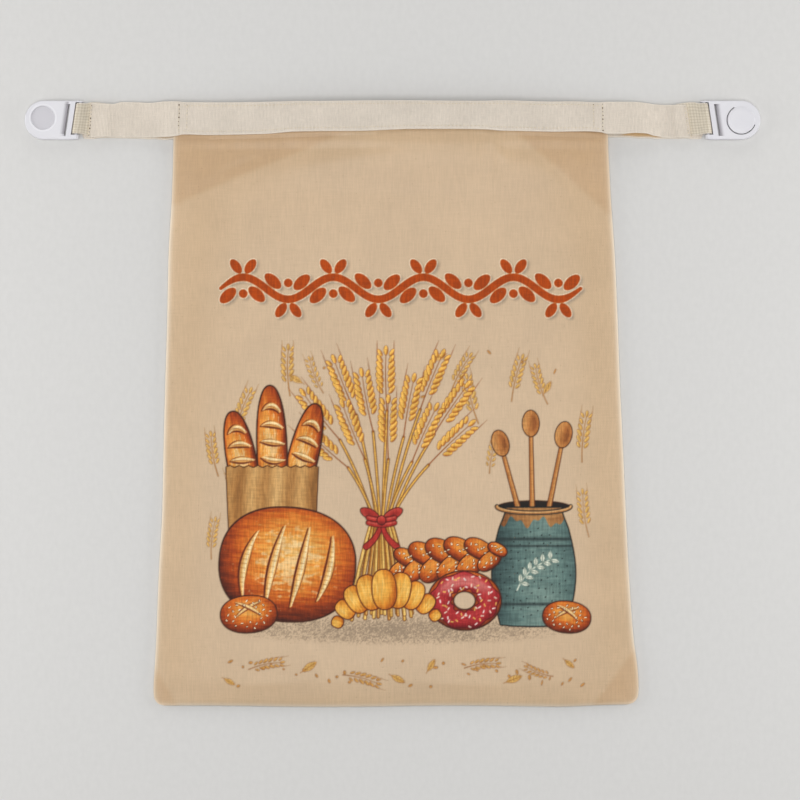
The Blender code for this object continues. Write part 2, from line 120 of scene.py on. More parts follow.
def hermite(t: Array, start: Array, end: Array, start_slope: Array, end_slope: Array, length: Array) -> Array:
    """A cubic from start to end over a length, with the given slopes at its ends."""
    rise = (1 + 2 * t) * (1 - t) ** 2 * start + t * t * (3 - 2 * t) * end
    turn = t * (1 - t) ** 2 * start_slope + t * t * (t - 1) * end_slope
    return rise + turn * length


def spread(count: int, ease: float) -> Array:
    """Shares from -1 to 1, closer together towards both ends: 1 - (1 - |t|) ** ease."""
    even = np.linspace(-1.0, 1.0, count)
    return np.sign(even) * (1 - (1 - np.abs(even)) ** ease)


@dataclass(frozen=True)
class Table:
    """Rows of numbers whose first column is where the others hold.

    Attributes:
        rows: The rows, in any order.
    """

    rows: Rows

    def at(self, place: Array) -> Array:
        """Reads each further column by a cubic that never overshoots.

        Args:
            place: Values of the first column, in its own unit.

        Returns:
            The other columns at those values, along a last axis. Slopes are harmonic means of the
            steps on both sides, and 0 where the steps change sign.
        """
        rows = np.array(sorted(self.rows), float)
        first, values = rows[:, 0], rows[:, 1:]
        slopes = np.diff(values, axis=0) / np.diff(first)[:, None]
        before, after = slopes[:-1], slopes[1:]
        same_way = before * after > 0
        total = np.where(same_way, before + after, 1.0)
        inner = np.where(same_way, 2 * before * after / total, 0.0)
        tangents = np.vstack([slopes[:1], inner, slopes[-1:]])
        place = np.clip(np.asarray(place, float), first[0], first[-1])
        row = np.clip(np.searchsorted(first, place, side="right") - 1, 0, len(first) - 2)
        step = np.diff(first)[row]
        t = ((place - first[row]) / step)[..., None]
        return hermite(
            t, values[row], values[row + 1], tangents[row], tangents[row + 1], step[..., None]
        )


@dataclass(frozen=True)
class BagShape:
    """How the bag lies: its outline, the front's crown and corner facets, and the mouth band's arch."""

    cloth: float = 1.0 * MM
    webbing: float = 1.5 * MM
    webbing_width: float = WEBBING_WIDTH
    gap: float = 0.3 * MM
    bottom: float = -219.4 * MM
    corner: float = 7.0 * MM
    bottom_wave: float = 0.5 * MM
    bottom_rise: Triple = (118.0 * MM, 160.0 * MM, 1.5 * MM)
    wave_length: float = 30.0 * MM
    # Columns: y, left, right
    seams: Table = Table((
        (220, -158.3, 155.6), (190, -159.1, 156.5), (155, -160, 158.1), (107, -162.6, 161.3),
        (60, -163.6, 163.4), (14, -165, 165), (-32, -166.2, 167.2), (-78, -167.2, 169.2),
        (-125, -169.8, 171.6), (-171, -171.6, 175), (-194, -172.9, 178), (-207, -173.6, 178.7),
        (-220, -172.6, 177.6),
    ))
    # Columns: y, rise, squareness
    crown: Table = Table((
        (-219.4, 0, 9), (-217.4, 1.8, 9), (-214, 3.5, 9), (-208, 5.3, 9), (-198, 6.9, 9), (-175, 8.3, 9),
        (-120, 9.3, 9), (-40, 10.1, 9), (50, 10.9, 8.5), (120, 12.3, 7.5), (160, 13.4, 6.5),
    ))
    # Columns: from_x, from_y, to_x, to_y, rise, fall
    facets: Rows = (
        (-157, 147, -94, 173, 12, 0.23), (108, 182, 156, 141, 12, 0.23),
        (178, -178, 148, -218, 7.4, 0.26), (-158, -219, -172, -196, 5.6, 0.26),
    )
    facet_softness: float = 0.7 * MM
    facet_blend: Pair = (-4.5 * MM, 0.5 * MM)
    # Columns: x, y, reach_x, reach_y, height
    swells: Rows = (
        (-88, 118, 46, 30, 0.7), (62, 128, 60, 26, -0.8), (-20, 40, 80, 34, 0.5), (118, 12, 30, 60, -0.6),
        (-120, -48, 28, 66, -0.7), (40, -96, 70, 40, 0.6), (-60, -168, 60, 22, -0.5),
        (104, -150, 40, 30, 0.5),
    )
    swell_fade: float = 6.0 * MM
    seam_lift: float = 1.2 * MM
    seam_lift_reach: float = 7.0 * MM
    climb: Pair = (183.0 * MM, 191.0 * MM)
    back_mouth: float = 216.0 * MM
    # Columns: x, y, lift, tilt_deg
    band: Table = Table((
        (-224, 206, 3.6, 0), (-207.5, 205.9, 3.6, 0), (-200, 205.9, 1.9, 0), (-188, 205.8, 1.9, 0),
        (-176, 205.7, 2.6, 1.5), (-167, 205.6, 4, 3), (-160, 205.4, 5.4, 4), (-147, 205.3, 6.4, 7),
        (-128, 205.2, 7.7, 9), (-96, 205.5, 10.2, 12), (-45, 206.4, 13.4, 17), (0, 207, 14.2, 20),
        (40, 207.1, 14.2, 20), (80, 206.9, 13.2, 18.5), (108, 206.6, 11.6, 17.5), (130, 206.4, 9.4, 16),
        (145, 206.3, 7.9, 14), (157, 206.3, 7.1, 12), (168, 206.4, 6.2, 13), (180, 206.3, 5.1, 12),
        (190, 206, 3.1, 4.5), (198, 205.8, 1.9, 0), (202, 205.8, 2.2, 0), (206.5, 205.8, 3.6, 0),
        (222, 205.9, 3.6, 0),
    ))
    band_ends: Pair = (-220.0 * MM, 215.1 * MM)
    # How far the front band's edges lie off the straight run. Columns: x, lower edge, upper edge
    band_ripples: Table = Table((
        (-219, 0, 0.5), (-213, 0.2, 0), (-204, 0.3, -0.2), (-196, 0.3, 1.3), (-188, 0.4, 1.3),
        (-176, 0.1, 0.9), (-164.5, 0.3, 1.9), (-157, 1, 2), (-151, 2, 1.5), (-132, 1.4, 1.4),
        (-92, 1.3, 1.2), (-71, 2.3, 1.5), (-51, 2, 1.1), (-20, 1.4, 1.1), (0, 2, 1.1), (12, 2.4, 1),
        (50, 2.4, 0.6), (66, 2.3, 0.7), (80, 1.5, 1.1), (112, 1.5, 0.7), (131, 2.2, 1.2), (142, 2.6, 0.8),
        (150, 2.2, 0.5), (156, 1, 0.9), (166, 1, 1), (176, 1.9, 1.1), (184, 1.9, 0.4), (190, 0.8, -0.5),
        (204, -0.2, -0.8), (214, 0, -0.8),
    ))
    band_end_slants: Pair = (0.09, -0.14)
    slant_reach: float = 25.0 * MM
    under_band: float = 0.4 * MM
    mouth_inset: float = 1.6 * MM
    join: float = 150.0 * MM
    band_hold: float = 12.0
    column_ease: Pair = (1.5, 1.6)
    row_ease: float = 2.2
    slope_step: float = 1.0 * MM
    # Puckers of the front cloth under the band. Columns: x, reach_x, reach_y, height
    puckers: Rows = (
        (-129, 3.5, 14, -0.35), (-114, 4, 17, 0.40), (-92, 3.2, 11, -0.30), (-76, 4.6, 20, 0.45),
        (-49, 3.6, 12, -0.30), (-26, 4.2, 15, 0.40), (-8, 3.4, 12, -0.30), (12.5, 4.4, 17, 0.40),
        (38, 3.6, 11, -0.25), (63, 3, 14, -0.45), (71, 3.4, 26, 0.65), (96, 3.6, 12, -0.30),
        (121, 3.4, 12, 0.30),
    )
    # Soft creases of the front cloth. Columns: from_x, from_y, to_x, to_y, reach, height
    creases: Rows = (
        (-128, 166, -92, 179, 3.2, -0.45), (-147, 158, -118, 171, 4, 0.30),
        (109, 176, 141, 150, 3.6, -0.40), (122, 186, 150, 163, 4.5, 0.30), (71, 190, 86, 170, 3, 0.35),
        (-152, 122, -158, 84, 5, 0.30), (152, 96, 158, 52, 5, 0.30), (-160, -120, -164, -168, 5, 0.30),
        (160, -112, 166, -160, 5, 0.30), (-120, -205, -70, -202, 4, 0.25), (20, -203, 88, -205, 4, 0.25),
    )

    def side_seams(self, y: Array) -> tuple[Array, Array]:
        """The left and right edge at a height, drawn in by a quarter circle at the bottom corners."""
        edges = self.seams.at(y / MM) * MM
        depth = np.clip(self.corner - (y - self.bottom), 0.0, self.corner)
        inset = self.corner - np.sqrt(self.corner**2 - depth**2)
        return edges[..., 0] + inset, edges[..., 1] - inset

    def across(self, s: Array, y: Array) -> Array:
        """x at a share s of the half width, from -1 at the left seam to 1 at the right one."""
        left, right = self.side_seams(y)
        return (left + right) / 2 + s * (right - left) / 2

    def share_at(self, x: Array, y: Array) -> Array:
        """The share of the half width at x, the inverse of across."""
        left, right = self.side_seams(y)
        return (2 * x - left - right) / (right - left)

    def band_edges(self, x: Array) -> tuple[tuple[Array, Array], tuple[Array, Array]]:
        """The front band's underside at x: (y, z) of its lower edge and of its upper edge."""
        row = self.band.at(x / MM)
        y, lift, tilt = row[..., 0] * MM, row[..., 1] * MM, np.radians(row[..., 2])
        out = self.webbing_width / 2 * np.cos(tilt)
        up = self.webbing_width / 2 * np.sin(tilt)
        return (y - out, lift + up), (y + out, lift - up)

    def back_height(self, s: Array, y: Array) -> Array:
        """Mid-surface of the back panel: flat, lifted at its seams, and over the back band at the mouth."""
        climb = eased(y, *self.climb)
        left, right = self.side_seams(y)
        from_side = (1 - np.abs(s)) * (right - left) / 2
        from_edge = np.minimum(from_side, y - self.bottom)
        lift = self.seam_lift * np.exp(-((from_edge / self.seam_lift_reach) ** 2))
        return self.cloth / 2 + climb * (self.webbing + self.gap) + (1 - climb) * lift

    def crown_rise(self, s: Array, y: Array) -> Array:
        """Rise of the front above its seams: the table's rise times 1 - |s| ** squareness."""
        row = self.crown.at(y / MM)
        return row[..., 0] * MM * (1 - np.abs(s) ** row[..., 1])

    @staticmethod
    def _beyond(line: Row, x: Array, y: Array) -> Array:
        """How far places lie to the left of a line from x, y to x, y in millimetres, in metres."""
        from_x, from_y, to_x, to_y = line
        length = math.hypot(to_x - from_x, to_y - from_y)
        normal_x, normal_y = -(to_y - from_y) / length, (to_x - from_x) / length
        return (x - from_x * MM) * normal_x + (y - from_y * MM) * normal_y

    def with_facets(self, rise: Array, x: Array, y: Array) -> Array:
        """The rise cut down by the corner facets, each a plane that falls to the left of its line."""
        for *line, at_line, fall in self.facets:
            plane = at_line * MM - fall * self._beyond(line, x, y)
            half = (rise - plane) / 2
            rise = (rise + plane) / 2 - np.sqrt(half**2 + self.facet_softness**2)
        return rise

    def facet_share(self, x: Array, y: Array) -> Array:
        """1 beyond the corner facets' lines and 0 inside them, eased over facet_blend."""
        share = np.zeros(np.broadcast(x, y).shape)
        for *line, _, _ in self.facets:
            share = np.maximum(share, eased(self._beyond(line, x, y), *self.facet_blend))
        return share

    def swell(self, x: Array, y: Array) -> Array:
        """Sum of the soft hollows and swells, each height * exp(-(dx/reach_x)**2 - (dy/reach_y)**2)."""
        total = np.zeros(np.broadcast(x, y).shape)
        for middle_x, middle_y, reach_x, reach_y, height in self.swells:
            away = ((x / MM - middle_x) / reach_x) ** 2 + ((y / MM - middle_y) / reach_y) ** 2
            total += height * MM * np.exp(-away)
        return total

    def crease(self, x: Array, y: Array) -> Array:
        """Sum of the soft creases: a bell across each line, faded out over its last quarter."""
        total = np.zeros(np.broadcast(x, y).shape)
        for from_x, from_y, to_x, to_y, reach, height in self.creases:
            run_x, run_y = to_x - from_x, to_y - from_y
            length = math.hypot(run_x, run_y)
            along = ((x / MM - from_x) * run_x + (y / MM - from_y) * run_y) / length**2
            off = ((x / MM - from_x) * run_y - (y / MM - from_y) * run_x) / length
            window = eased(along, -0.15, 0.3) * (1 - eased(along, 0.7, 1.15))
            total += height * MM * np.exp(-((off / reach) ** 2)) * window
        return total

    def pucker(self, x: Array, below: Array) -> Array:
        """Sum of the puckers under the band: a bell across x times exp(-(below/reach_y)**1.5)."""
        total = np.zeros(np.broadcast(x, below).shape)
        for middle, reach_x, reach_y, height in self.puckers:
            fade = np.exp(-((np.maximum(below, 0.0) / MM / reach_y) ** 1.5))
            total += height * MM * np.exp(-(((x / MM - middle) / reach_x) ** 2)) * fade
        return total

    def wave(self, x: Array, y: Array) -> Array:
        """How far the bottom edge's waves and its rise to the right move a point up, fading out upwards."""
        fade = np.clip((self.join - y) / (self.join - self.bottom), 0.0, 1.0) ** 4
        low, high, rise = self.bottom_rise
        return (self.bottom_wave * np.sin(x / self.wave_length) + rise * eased(x, low, high)) * fade

    def body_height(self, x: Array, y: Array) -> Array:
        """Mid-surface height of the front panel below the join, at a point as it lies.

        Args:
            x, y: The place, with the bottom edge's waves in it.

        Returns:
            The seam's height plus the crown with its facets, swells and creases.
        """
        flat_y = y - self.wave(x, y - self.wave(x, y))
        s = np.clip(self.share_at(x, flat_y), -1.0, 1.0)
        seam = self.back_height(s, flat_y) + self.cloth + self.gap
        crown = self.crown_rise(s, flat_y)
        soft = np.minimum(crown / self.swell_fade, 1.0)
        rise = self.with_facets(crown, x, flat_y)
        rise = rise + (self.swell(x, flat_y) + self.crease(x, flat_y)) * soft
        return seam + np.maximum(rise, 0.0)

    def front_grid(self, columns: int, body_rows: int, neck_rows: int, band_rows: int) -> Array:
        """Mid-surface of the front panel, from the bottom seam to the mouth.

        Args:
            columns: Points across the panel, closer together at the sides.
            body_rows: Rows from the bottom seam to the join.
            neck_rows: Rows from the join to the band's lower edge.
            band_rows: Rows behind the band.

        Returns:
            Points by row and column. Above the join the rise is a cubic in y that leaves the crown
            at its own slope and meets the band's underside at the band's slope.
        """
        s = spread(columns, self.column_ease[0])[None, :]
        (low_y, _), (top_y, _) = self.band_edges(self.across(s, (self.climb[1] + self.back_mouth) / 2))
        t = np.linspace(0.0, 1.0, body_rows)[:, None]
        t = 0.5 * t + 0.5 * t**self.row_ease
        body_y = self.bottom + (self.join - self.bottom) * t + 0 * s
        t = np.linspace(0.0, 1.0, neck_rows + 1)[1:, None]
        neck_y = self.join + (low_y - self.join) * t
        t = np.linspace(0.0, 1.0, band_rows + 1)[1:, None]
        held_y = low_y + (top_y - self.mouth_inset - low_y) * t
        y = np.vstack([body_y, neck_y, held_y])
        x = self.across(s, y)
        seam = self.back_height(s, y) + self.cloth + self.gap

        (low_y, low_z), (top_y, top_z) = self.band_edges(x)
        hold = 1 - np.abs(s) ** self.band_hold
        share = (y - low_y) / (top_y - low_y)
        level = (1 - share) * low_z + share * top_z - self.under_band - self.cloth / 2
        held = np.maximum(level - seam, 0.0) * hold
        at_low = np.maximum(low_z - self.under_band - self.cloth / 2 - seam, 0.0) * hold
        band_slope = (top_z - low_z) / (top_y - low_y) * hold

        body = self.crown_rise(s, np.minimum(y, self.join))
        step = self.slope_step
        at_join, before = (self.crown_rise(s, level + 0 * y) for level in (self.join, self.join - step))
        body_slope = (at_join - before) / step
        neck = np.clip((y - self.join) / (low_y - self.join), 0.0, 1.0)
        rise = hermite(neck, body, at_low, body_slope, band_slope, low_y - self.join)
        soft = np.minimum(body / self.swell_fade, 1.0)
        folds = self.swell(x, y) * (1 - neck) + self.crease(x, y) * (1 - eased(neck, 0.75, 1.0))
        rise = self.with_facets(rise, x, y) + folds * soft
        rise = rise + self.pucker(x, low_y - y) * eased(neck, 0.0, 0.4) * soft
        rise = np.where(y > low_y, held, np.maximum(rise, 0.0))
        return np.stack([x, y + self.wave(x, y), seam + rise], axis=-1)

    def back_grid(self, columns: int, rows: int, climb_rows: int) -> Array:
        """Mid-surface of the back panel, from the bottom seam to the mouth, by row and column."""
        ease = self.column_ease[1]
        s = spread(columns, ease)[None, :]
        low = self.bottom + (self.climb[0] - self.bottom) * (1 + spread(2 * rows - 1, ease)[:rows])
        high = np.linspace(self.climb[0], self.climb[1], climb_rows + 1)[1:]
        mouth = np.linspace(self.climb[1], self.back_mouth, climb_rows + 1)[1:]
        y = np.concatenate([low, high, mouth])[:, None] + 0 * s
        x = self.across(s, y)
        return np.stack([x, y + self.wave(x, y), self.back_height(s, y)], axis=-1)

    def band_point(self, x: Array, v: Array) -> Array:
        """Mid-surface of the front band.

        Args:
            x: Places along the band.
            v: Distances across it from its middle, towards the mouth.

        Returns:
            The points: straight across between the band's two edges, the ends slanted.
        """
        left, right = self.band_ends
        (low_y, low_z), (top_y, top_z) = self.band_edges(x)
        share = v / self.webbing_width + 0.5
        ripple = self.band_ripples.at(x / MM) * MM
        y = low_y + (top_y - low_y) * share + ripple[..., 0] * (1 - share) + ripple[..., 1] * share
        z = low_z + (top_z - low_z) * (y - low_y) / (top_y - low_y) + self.webbing / 2
        near_left = eased(-x, -left - self.slant_reach, -left)
        near_right = eased(x, right - self.slant_reach, right)
        slant = near_left * self.band_end_slants[0] + near_right * self.band_end_slants[1]
        return np.stack([x + slant * v, y, z + 0 * y], axis=-1)


def mesh_from(name: str, points: Array, quads: Faces, **layers: Array) -> Mesh:
    """A smooth mesh from arrays.

    Args:
        name: The mesh's name.
        points: The vertices.
        quads: Four vertex numbers for each face, counterclockwise from outside.
        **layers: Per vertex values: uv, two columns for the map "cloth", ink, four columns for the
            colour attribute "ink", or wear or tan, one column for the attribute of that name.

    Returns:
        The mesh.
    """
    mesh = bpy.data.meshes.new(name)
    mesh.vertices.add(len(points))
    mesh.vertices.foreach_set("co", points.astype(np.float32).ravel())
    mesh.loops.add(quads.size)
    mesh.loops.foreach_set("vertex_index", quads.astype(np.int32).ravel())
    mesh.polygons.add(len(quads))
    mesh.polygons.foreach_set("loop_start", np.arange(0, quads.size, 4, dtype=np.int32))
    mesh.update(calc_edges=True)
    mesh.shade_smooth()
    if "uv" in layers:
        mesh.uv_layers.new(name="cloth")
        corners = layers["uv"][quads.ravel()].astype(np.float32)
        mesh.uv_layers["cloth"].data.foreach_set("uv", corners.ravel())
    if "ink" in layers:
        inks = mesh.attributes.new("ink", "FLOAT_COLOR", "POINT")
        inks.data.foreach_set("color", layers["ink"].astype(np.float32).ravel())
    for kind in {"wear", "tan"} & set(layers):
        values = mesh.attributes.new(kind, "FLOAT", "POINT")
        values.data.foreach_set("value", layers[kind].astype(np.float32).ravel())
    return mesh


def grid_quads(rows: int, columns: int, closed: bool = False, start: int = 0) -> Faces:
    """Faces of a grid of points numbered row by row.

    Args:
        rows, columns: The grid's size.
        closed: Whether the last column joins the first.
        start: The first point's number.

    Returns:
        Four numbers a face, counterclockwise where columns run right and rows run up.
    """
    index = start + np.arange(rows * columns).reshape(rows, columns)
    if closed:
        index = np.concatenate([index, index[:, :1]], axis=1)
    corners = (index[:-1, :-1], index[:-1, 1:], index[1:, 1:], index[1:, :-1])
    return np.stack(corners, axis=-1).reshape(-1, 4)


def linked(name: str, data: Any) -> Object:
    """A new object in the scene, at the origin."""
    thing = bpy.data.objects.new(name, data)
    bpy.context.scene.collection.objects.link(thing)
    return thing


def place(mesh: Mesh, material: Material, body: Body, slot: Slot) -> Object:
    """Links a mesh, with its material, as a piece that rides on a body."""
    mesh.materials.append(material)
    piece = linked(mesh.name, mesh)
    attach(piece, body.value)
    return piece


def report(piece: Object) -> None:
    """Logs a piece with its number of faces and its box in millimetres."""
    corners = np.array([tuple(corner) for corner in piece.bound_box]) / MM
    low, high = corners.min(axis=0).round(1), corners.max(axis=0).round(1)
    LOG.info("%s: %d faces, %s to %s", piece.name, len(piece.data.polygons), low.tolist(), high.tolist())


class Graph:
    """Adds and links nodes in one node tree.

    Attributes:
        tree: The tree that it fills.
    """

    def __init__(self, tree: NodeTree) -> None:
        """Starts on a tree."""
        self.tree = tree

    def fill(self, node: Node, inputs: dict[Any, Any]) -> Node:
        """Gives a node's inputs, by name or number, a socket to follow or a plain value."""
        for key, value in inputs.items():
            if isinstance(value, NodeSocket):
                self.tree.links.new(value, node.inputs[key])
            else:
                node.inputs[key].default_value = value
        return node

    def add(self, kind: str, inputs: dict[Any, Any] | None = None, **settings: Any) -> Node:
        """Adds a node.

        Args:
            kind: Its type, without the word ShaderNode.
            inputs: What goes into each input, by name or number: a socket or a plain value.
            **settings: Its properties.

        Returns:
            The node.
        """
        node = self.tree.nodes.new(f"ShaderNode{kind}")
        for key, value in settings.items():
            setattr(node, key, value)
        return self.fill(node, inputs or {})

    def math(self, operation: str, *values: Any, clamp: bool = False) -> NodeSocket:
        """The result of a Math node on sockets or numbers."""
        return self.add("Math", dict(enumerate(values)), operation=operation, use_clamp=clamp).outputs[0]

    def times(self, first: Any, second: Any) -> NodeSocket:
        """The product of two sockets or numbers."""
        return self.math("MULTIPLY", first, second)

    def plus(self, first: Any, second: Any) -> NodeSocket:
        """The sum of two sockets or numbers."""
        return self.math("ADD", first, second)

    def noise(self, vector: Any, scale: float, detail: float) -> NodeSocket:
        """Noise from 0 to 1 over a vector."""
        return self.add("TexNoise", {"Vector": vector, "Scale": scale, "Detail": detail}).outputs[0]

    def bump(self, height: Any, strength: float, distance: float) -> NodeSocket:
        """The normal of a relief."""
        return self.add("Bump", {"Strength": strength, "Distance": distance, "Height": height}).outputs[0]

    def attribute(self, name: str) -> Any:
        """The outputs of a mesh attribute."""
        return self.add("Attribute", attribute_name=name).outputs

    def mix(self, share: Any, first: Any, second: Any, blend: str = "MIX") -> NodeSocket:
        """The result of mixing two colours."""
        inputs = {0: share, 6: first, 7: second}
        return self.add("Mix", inputs, data_type="RGBA", blend_type=blend).outputs[2]

    def ramp(self, value: Any, low: float, high: float, to_low: float = 0.0, to_high: float = 1.0) -> Any:
        """A number carried smoothly from one range to another."""
        inputs = {0: value, 1: low, 2: high, 3: to_low, 4: to_high}
        return self.add("MapRange", inputs, interpolation_type="SMOOTHSTEP").outputs[0]

    def group(self, group: NodeTree, **inputs: Any) -> Node:
        """Places a node group, its inputs by name."""
        return self.add("Group", inputs, node_tree=group)


@dataclass(frozen=True)
class GroupPlan:
    """The sockets of a node group.

    Attributes:
        name: The group's name.
        inputs: Name, socket type and default of each input.
        outputs: Name and socket type of each output.
    """

    name: str
    inputs: Sequence[tuple[str, str, Any]]
    outputs: Sequence[tuple[str, str]]

    def start(self) -> tuple[Graph, Any, Node]:
        """Makes the group and returns its graph, its input node's outputs and its output node."""
        tree = bpy.data.node_groups.new(self.name, "ShaderNodeTree")
        for name, kind, default in self.inputs:
            socket = tree.interface.new_socket(name, in_out="INPUT", socket_type=kind)
            if default is not None:
                socket.default_value = default
        for name, kind in self.outputs:
            tree.interface.new_socket(name, in_out="OUTPUT", socket_type=kind)
        given = tree.nodes.new("NodeGroupInput")
        return Graph(tree), given.outputs, tree.nodes.new("NodeGroupOutput")


FLOAT, VECTOR = "NodeSocketFloat", "NodeSocketVector"


class Effects:
    """The node groups that several finishes share."""

    def __init__(self) -> None:
        """Builds each group once."""
        self.twill = self._twill()
        self.streaks = self._streaks()
        self.ribs = self._ribs()
        self.flecks = self._flecks()

    @staticmethod
    def _twill() -> NodeTree:
        """Twill weave: a sine over diagonal lines, broken up by the threads that cross them."""
        plan = GroupPlan(
            "twill weave",
            (("Vector", VECTOR, None), ("Pitch", FLOAT, 0.8 * MM)),
            (("Height", FLOAT), ("Shade", FLOAT)),
        )
        graph, given, made = plan.start()
        turns = graph.math("DIVIDE", 2 * math.pi, given["Pitch"])
        split = graph.add("SeparateXYZ", {0: given["Vector"]}).outputs
        jitter = graph.noise(given["Vector"], 260.0, 2.0)
        diagonal = graph.plus(graph.times(split[0], 0.62), graph.times(split[1], 0.78))
        lines = graph.math("SINE", graph.plus(graph.times(diagonal, turns), graph.times(jitter, 5.0)))
        cross = graph.math("SINE", graph.times(split[0], graph.times(turns, 1.6)))
        height = graph.plus(graph.times(lines, 0.35), graph.times(cross, 0.15))
        graph.fill(made, {"Height": graph.plus(height, 0.5), "Shade": graph.ramp(height, -0.5, 0.5)})
        return graph.tree

    @staticmethod
    def _streaks() -> NodeTree:
        """Uneven threads: noise drawn out along the second axis and, more weakly, along the first."""
        plan = GroupPlan(
            "thread streaks",
            (("Vector", VECTOR, None), ("Fineness", FLOAT, 900.0), ("Length", FLOAT, 14.0)),
            (("Value", FLOAT),),
        )
        graph, given, made = plan.start()
        long = graph.math("DIVIDE", given["Fineness"], given["Length"])
        down = graph.add("CombineXYZ", {0: given["Fineness"], 1: long, 2: long}).outputs[0]
        over = graph.add("CombineXYZ", {0: long, 1: given["Fineness"], 2: long}).outputs[0]
        found = []
        for stretch in (down, over):
            vector = graph.add("VectorMath", {0: given["Vector"], 1: stretch}, operation="MULTIPLY")
            found.append(graph.noise(vector.outputs[0], 1.0, 3.0))
        warp, weft = graph.times(found[0], 0.64), graph.times(found[1], 0.36)
        graph.fill(made, {"Value": graph.plus(warp, weft)})
        return graph.tree

    @staticmethod
    def _ribs() -> NodeTree:
        """Ribbed weave: ribs across the strip, crossed by fine lengthwise threads that alternate."""
        plan = GroupPlan(
            "ribbed weave",
            (("Along", FLOAT, 0.0), ("Across", FLOAT, 0.0), ("Pitch", FLOAT, 1.0 * MM),
             ("Thread", FLOAT, 0.6 * MM)),
            (("Height", FLOAT), ("Gap", FLOAT)),
        )
        graph, given, made = plan.start()
        rib = graph.math("DIVIDE", given["Along"], given["Pitch"])
        thread = graph.math("DIVIDE", given["Across"], given["Thread"])
        odd = graph.math("MODULO", graph.math("FLOOR", rib), 2.0)
        shifted = graph.plus(thread, graph.times(odd, 0.5))
        over = graph.math("ABSOLUTE", graph.math("SINE", graph.times(rib, math.pi)))
        side = graph.math("ABSOLUTE", graph.math("SINE", graph.times(shifted, math.pi)))
        height = graph.times(graph.math("POWER", over, 0.6), graph.math("POWER", side, 0.5))
        graph.fill(made, {"Height": height, "Gap": graph.ramp(height, 0.55, 0.05)})
        return graph.tree

    @staticmethod
    def _flecks() -> NodeTree:
        """Scattered flecks: the middles of noise cells, kept where a second noise is high."""
        plan = GroupPlan(
            "flecks",
            (("Vector", VECTOR, None), ("Scale", FLOAT, 300.0), ("Size", FLOAT, 0.2), ("Share", FLOAT, 0.3)),
            (("Mask", FLOAT),),
        )
        graph, given, made = plan.start()
        cells = graph.add("TexVoronoi", {"Vector": given["Vector"], "Scale": given["Scale"]})
        near = graph.ramp(cells.outputs["Distance"], 0.0, 1.0)
        dot = graph.math("LESS_THAN", near, given["Size"])
        pick = graph.add("SeparateColor", {0: cells.outputs["Color"]}).outputs[0]
        kept = graph.math("LESS_THAN", pick, given["Share"])
        graph.fill(made, {"Mask": graph.times(dot, kept)})
        return graph.tree


def new_material(name: str) -> tuple[Material, Graph, Node]:
    """A node material with its graph and its Principled shader."""
    material = bpy.data.materials.new(name)
    material.use_nodes = True
    shader = material.node_tree.nodes["Principled BSDF"]
    return material, Graph(material.node_tree), shader


@dataclass(frozen=True)
class TwillFinish:
    """Fine cotton twill.

    Attributes:
        colour: Screen colour of the cloth.
        edge_highlight_colour: Screen colour of the highlight painted along its seam edges.
        printed: Whether the mesh's ink attribute colours it.
        roughness, ink_roughness: How dull the cloth and the ink are.
        gloss, nap: Specular level and sheen.
        painted_shade_tint: What the colour is multiplied by to paint shade where the tan attribute says so.
        pitch: Distance between the twill's diagonals.
    """

    colour: Triple = (194, 166, 132)
    edge_highlight_colour: Triple = (236, 226, 208)
    printed: bool = False
    roughness: float = 0.45
    ink_roughness: float = 1.0
    gloss: float = 0.55
    nap: float = 0.25
    painted_shade_tint: Triple = (0.925, 0.865, 0.80)
    pitch: float = 0.85 * MM

    def material(self, name: str, effects: Effects) -> Material:
        """Thread streaks and slow unevenness tint the colour, the weave is a bump."""
        material, graph, shader = new_material(name)
        place_at = graph.add("TexCoord").outputs["Object"]
        streaks = graph.group(effects.streaks, Vector=place_at, Fineness=1500.0, Length=16.0).outputs[0]
        weave = graph.group(effects.twill, Vector=place_at, Pitch=self.pitch).outputs
        slow = graph.noise(place_at, 26.0, 3.0)
        base, rough = linear(*self.colour), self.roughness
        if self.printed:
            ink = graph.attribute("ink")
            strokes = graph.group(effects.streaks, Vector=place_at, Fineness=700.0, Length=7.0).outputs[0]
            inked = graph.mix(1.0, ink["Color"], graph.ramp(strokes, 0.36, 0.64, 0.74, 1.04), "MULTIPLY")
            base = graph.mix(ink["Alpha"], base, inked)
            duller = self.ink_roughness - self.roughness
            rough = graph.math("MULTIPLY_ADD", ink["Alpha"], duller, self.roughness)
        uneven = graph.ramp(slow, 0.3, 0.7, 0.97, 1.03)
        tone = graph.times(graph.ramp(streaks, 0.32, 0.68, 0.94, 1.06), uneven)
        tone = graph.times(tone, graph.ramp(weave["Shade"], 0.0, 1.0, 0.96, 1.03))
        colour = graph.mix(1.0, base, tone, "MULTIPLY")
        flecks = graph.group(effects.flecks, Vector=place_at, Scale=420.0, Size=0.1, Share=0.06).outputs[0]
        colour = graph.mix(graph.times(flecks, 0.25), colour, linear(142, 112, 78))
        # Painted highlight: a pale line along the seam edges, where the mesh's attribute says so.
        colour = graph.mix(graph.attribute("wear")["Fac"], colour, linear(*self.edge_highlight_colour))
        # Painted shade: a darker, deeper tone where the tan attribute says so, beyond the corner facets'
        # lines.
        deep = graph.mix(1.0, colour, (*self.painted_shade_tint, 1.0), "MULTIPLY")
        relief = graph.plus(weave["Height"], graph.times(streaks, 0.8))
        graph.fill(shader, {
            "Base Color": graph.mix(graph.attribute("tan")["Fac"], colour, deep), "Roughness": rough,
            "Normal": graph.bump(relief, 0.35, 0.12 * MM), "Specular IOR Level": self.gloss,
            "Sheen Weight": self.nap, "Sheen Roughness": 0.3,
        })
        return material


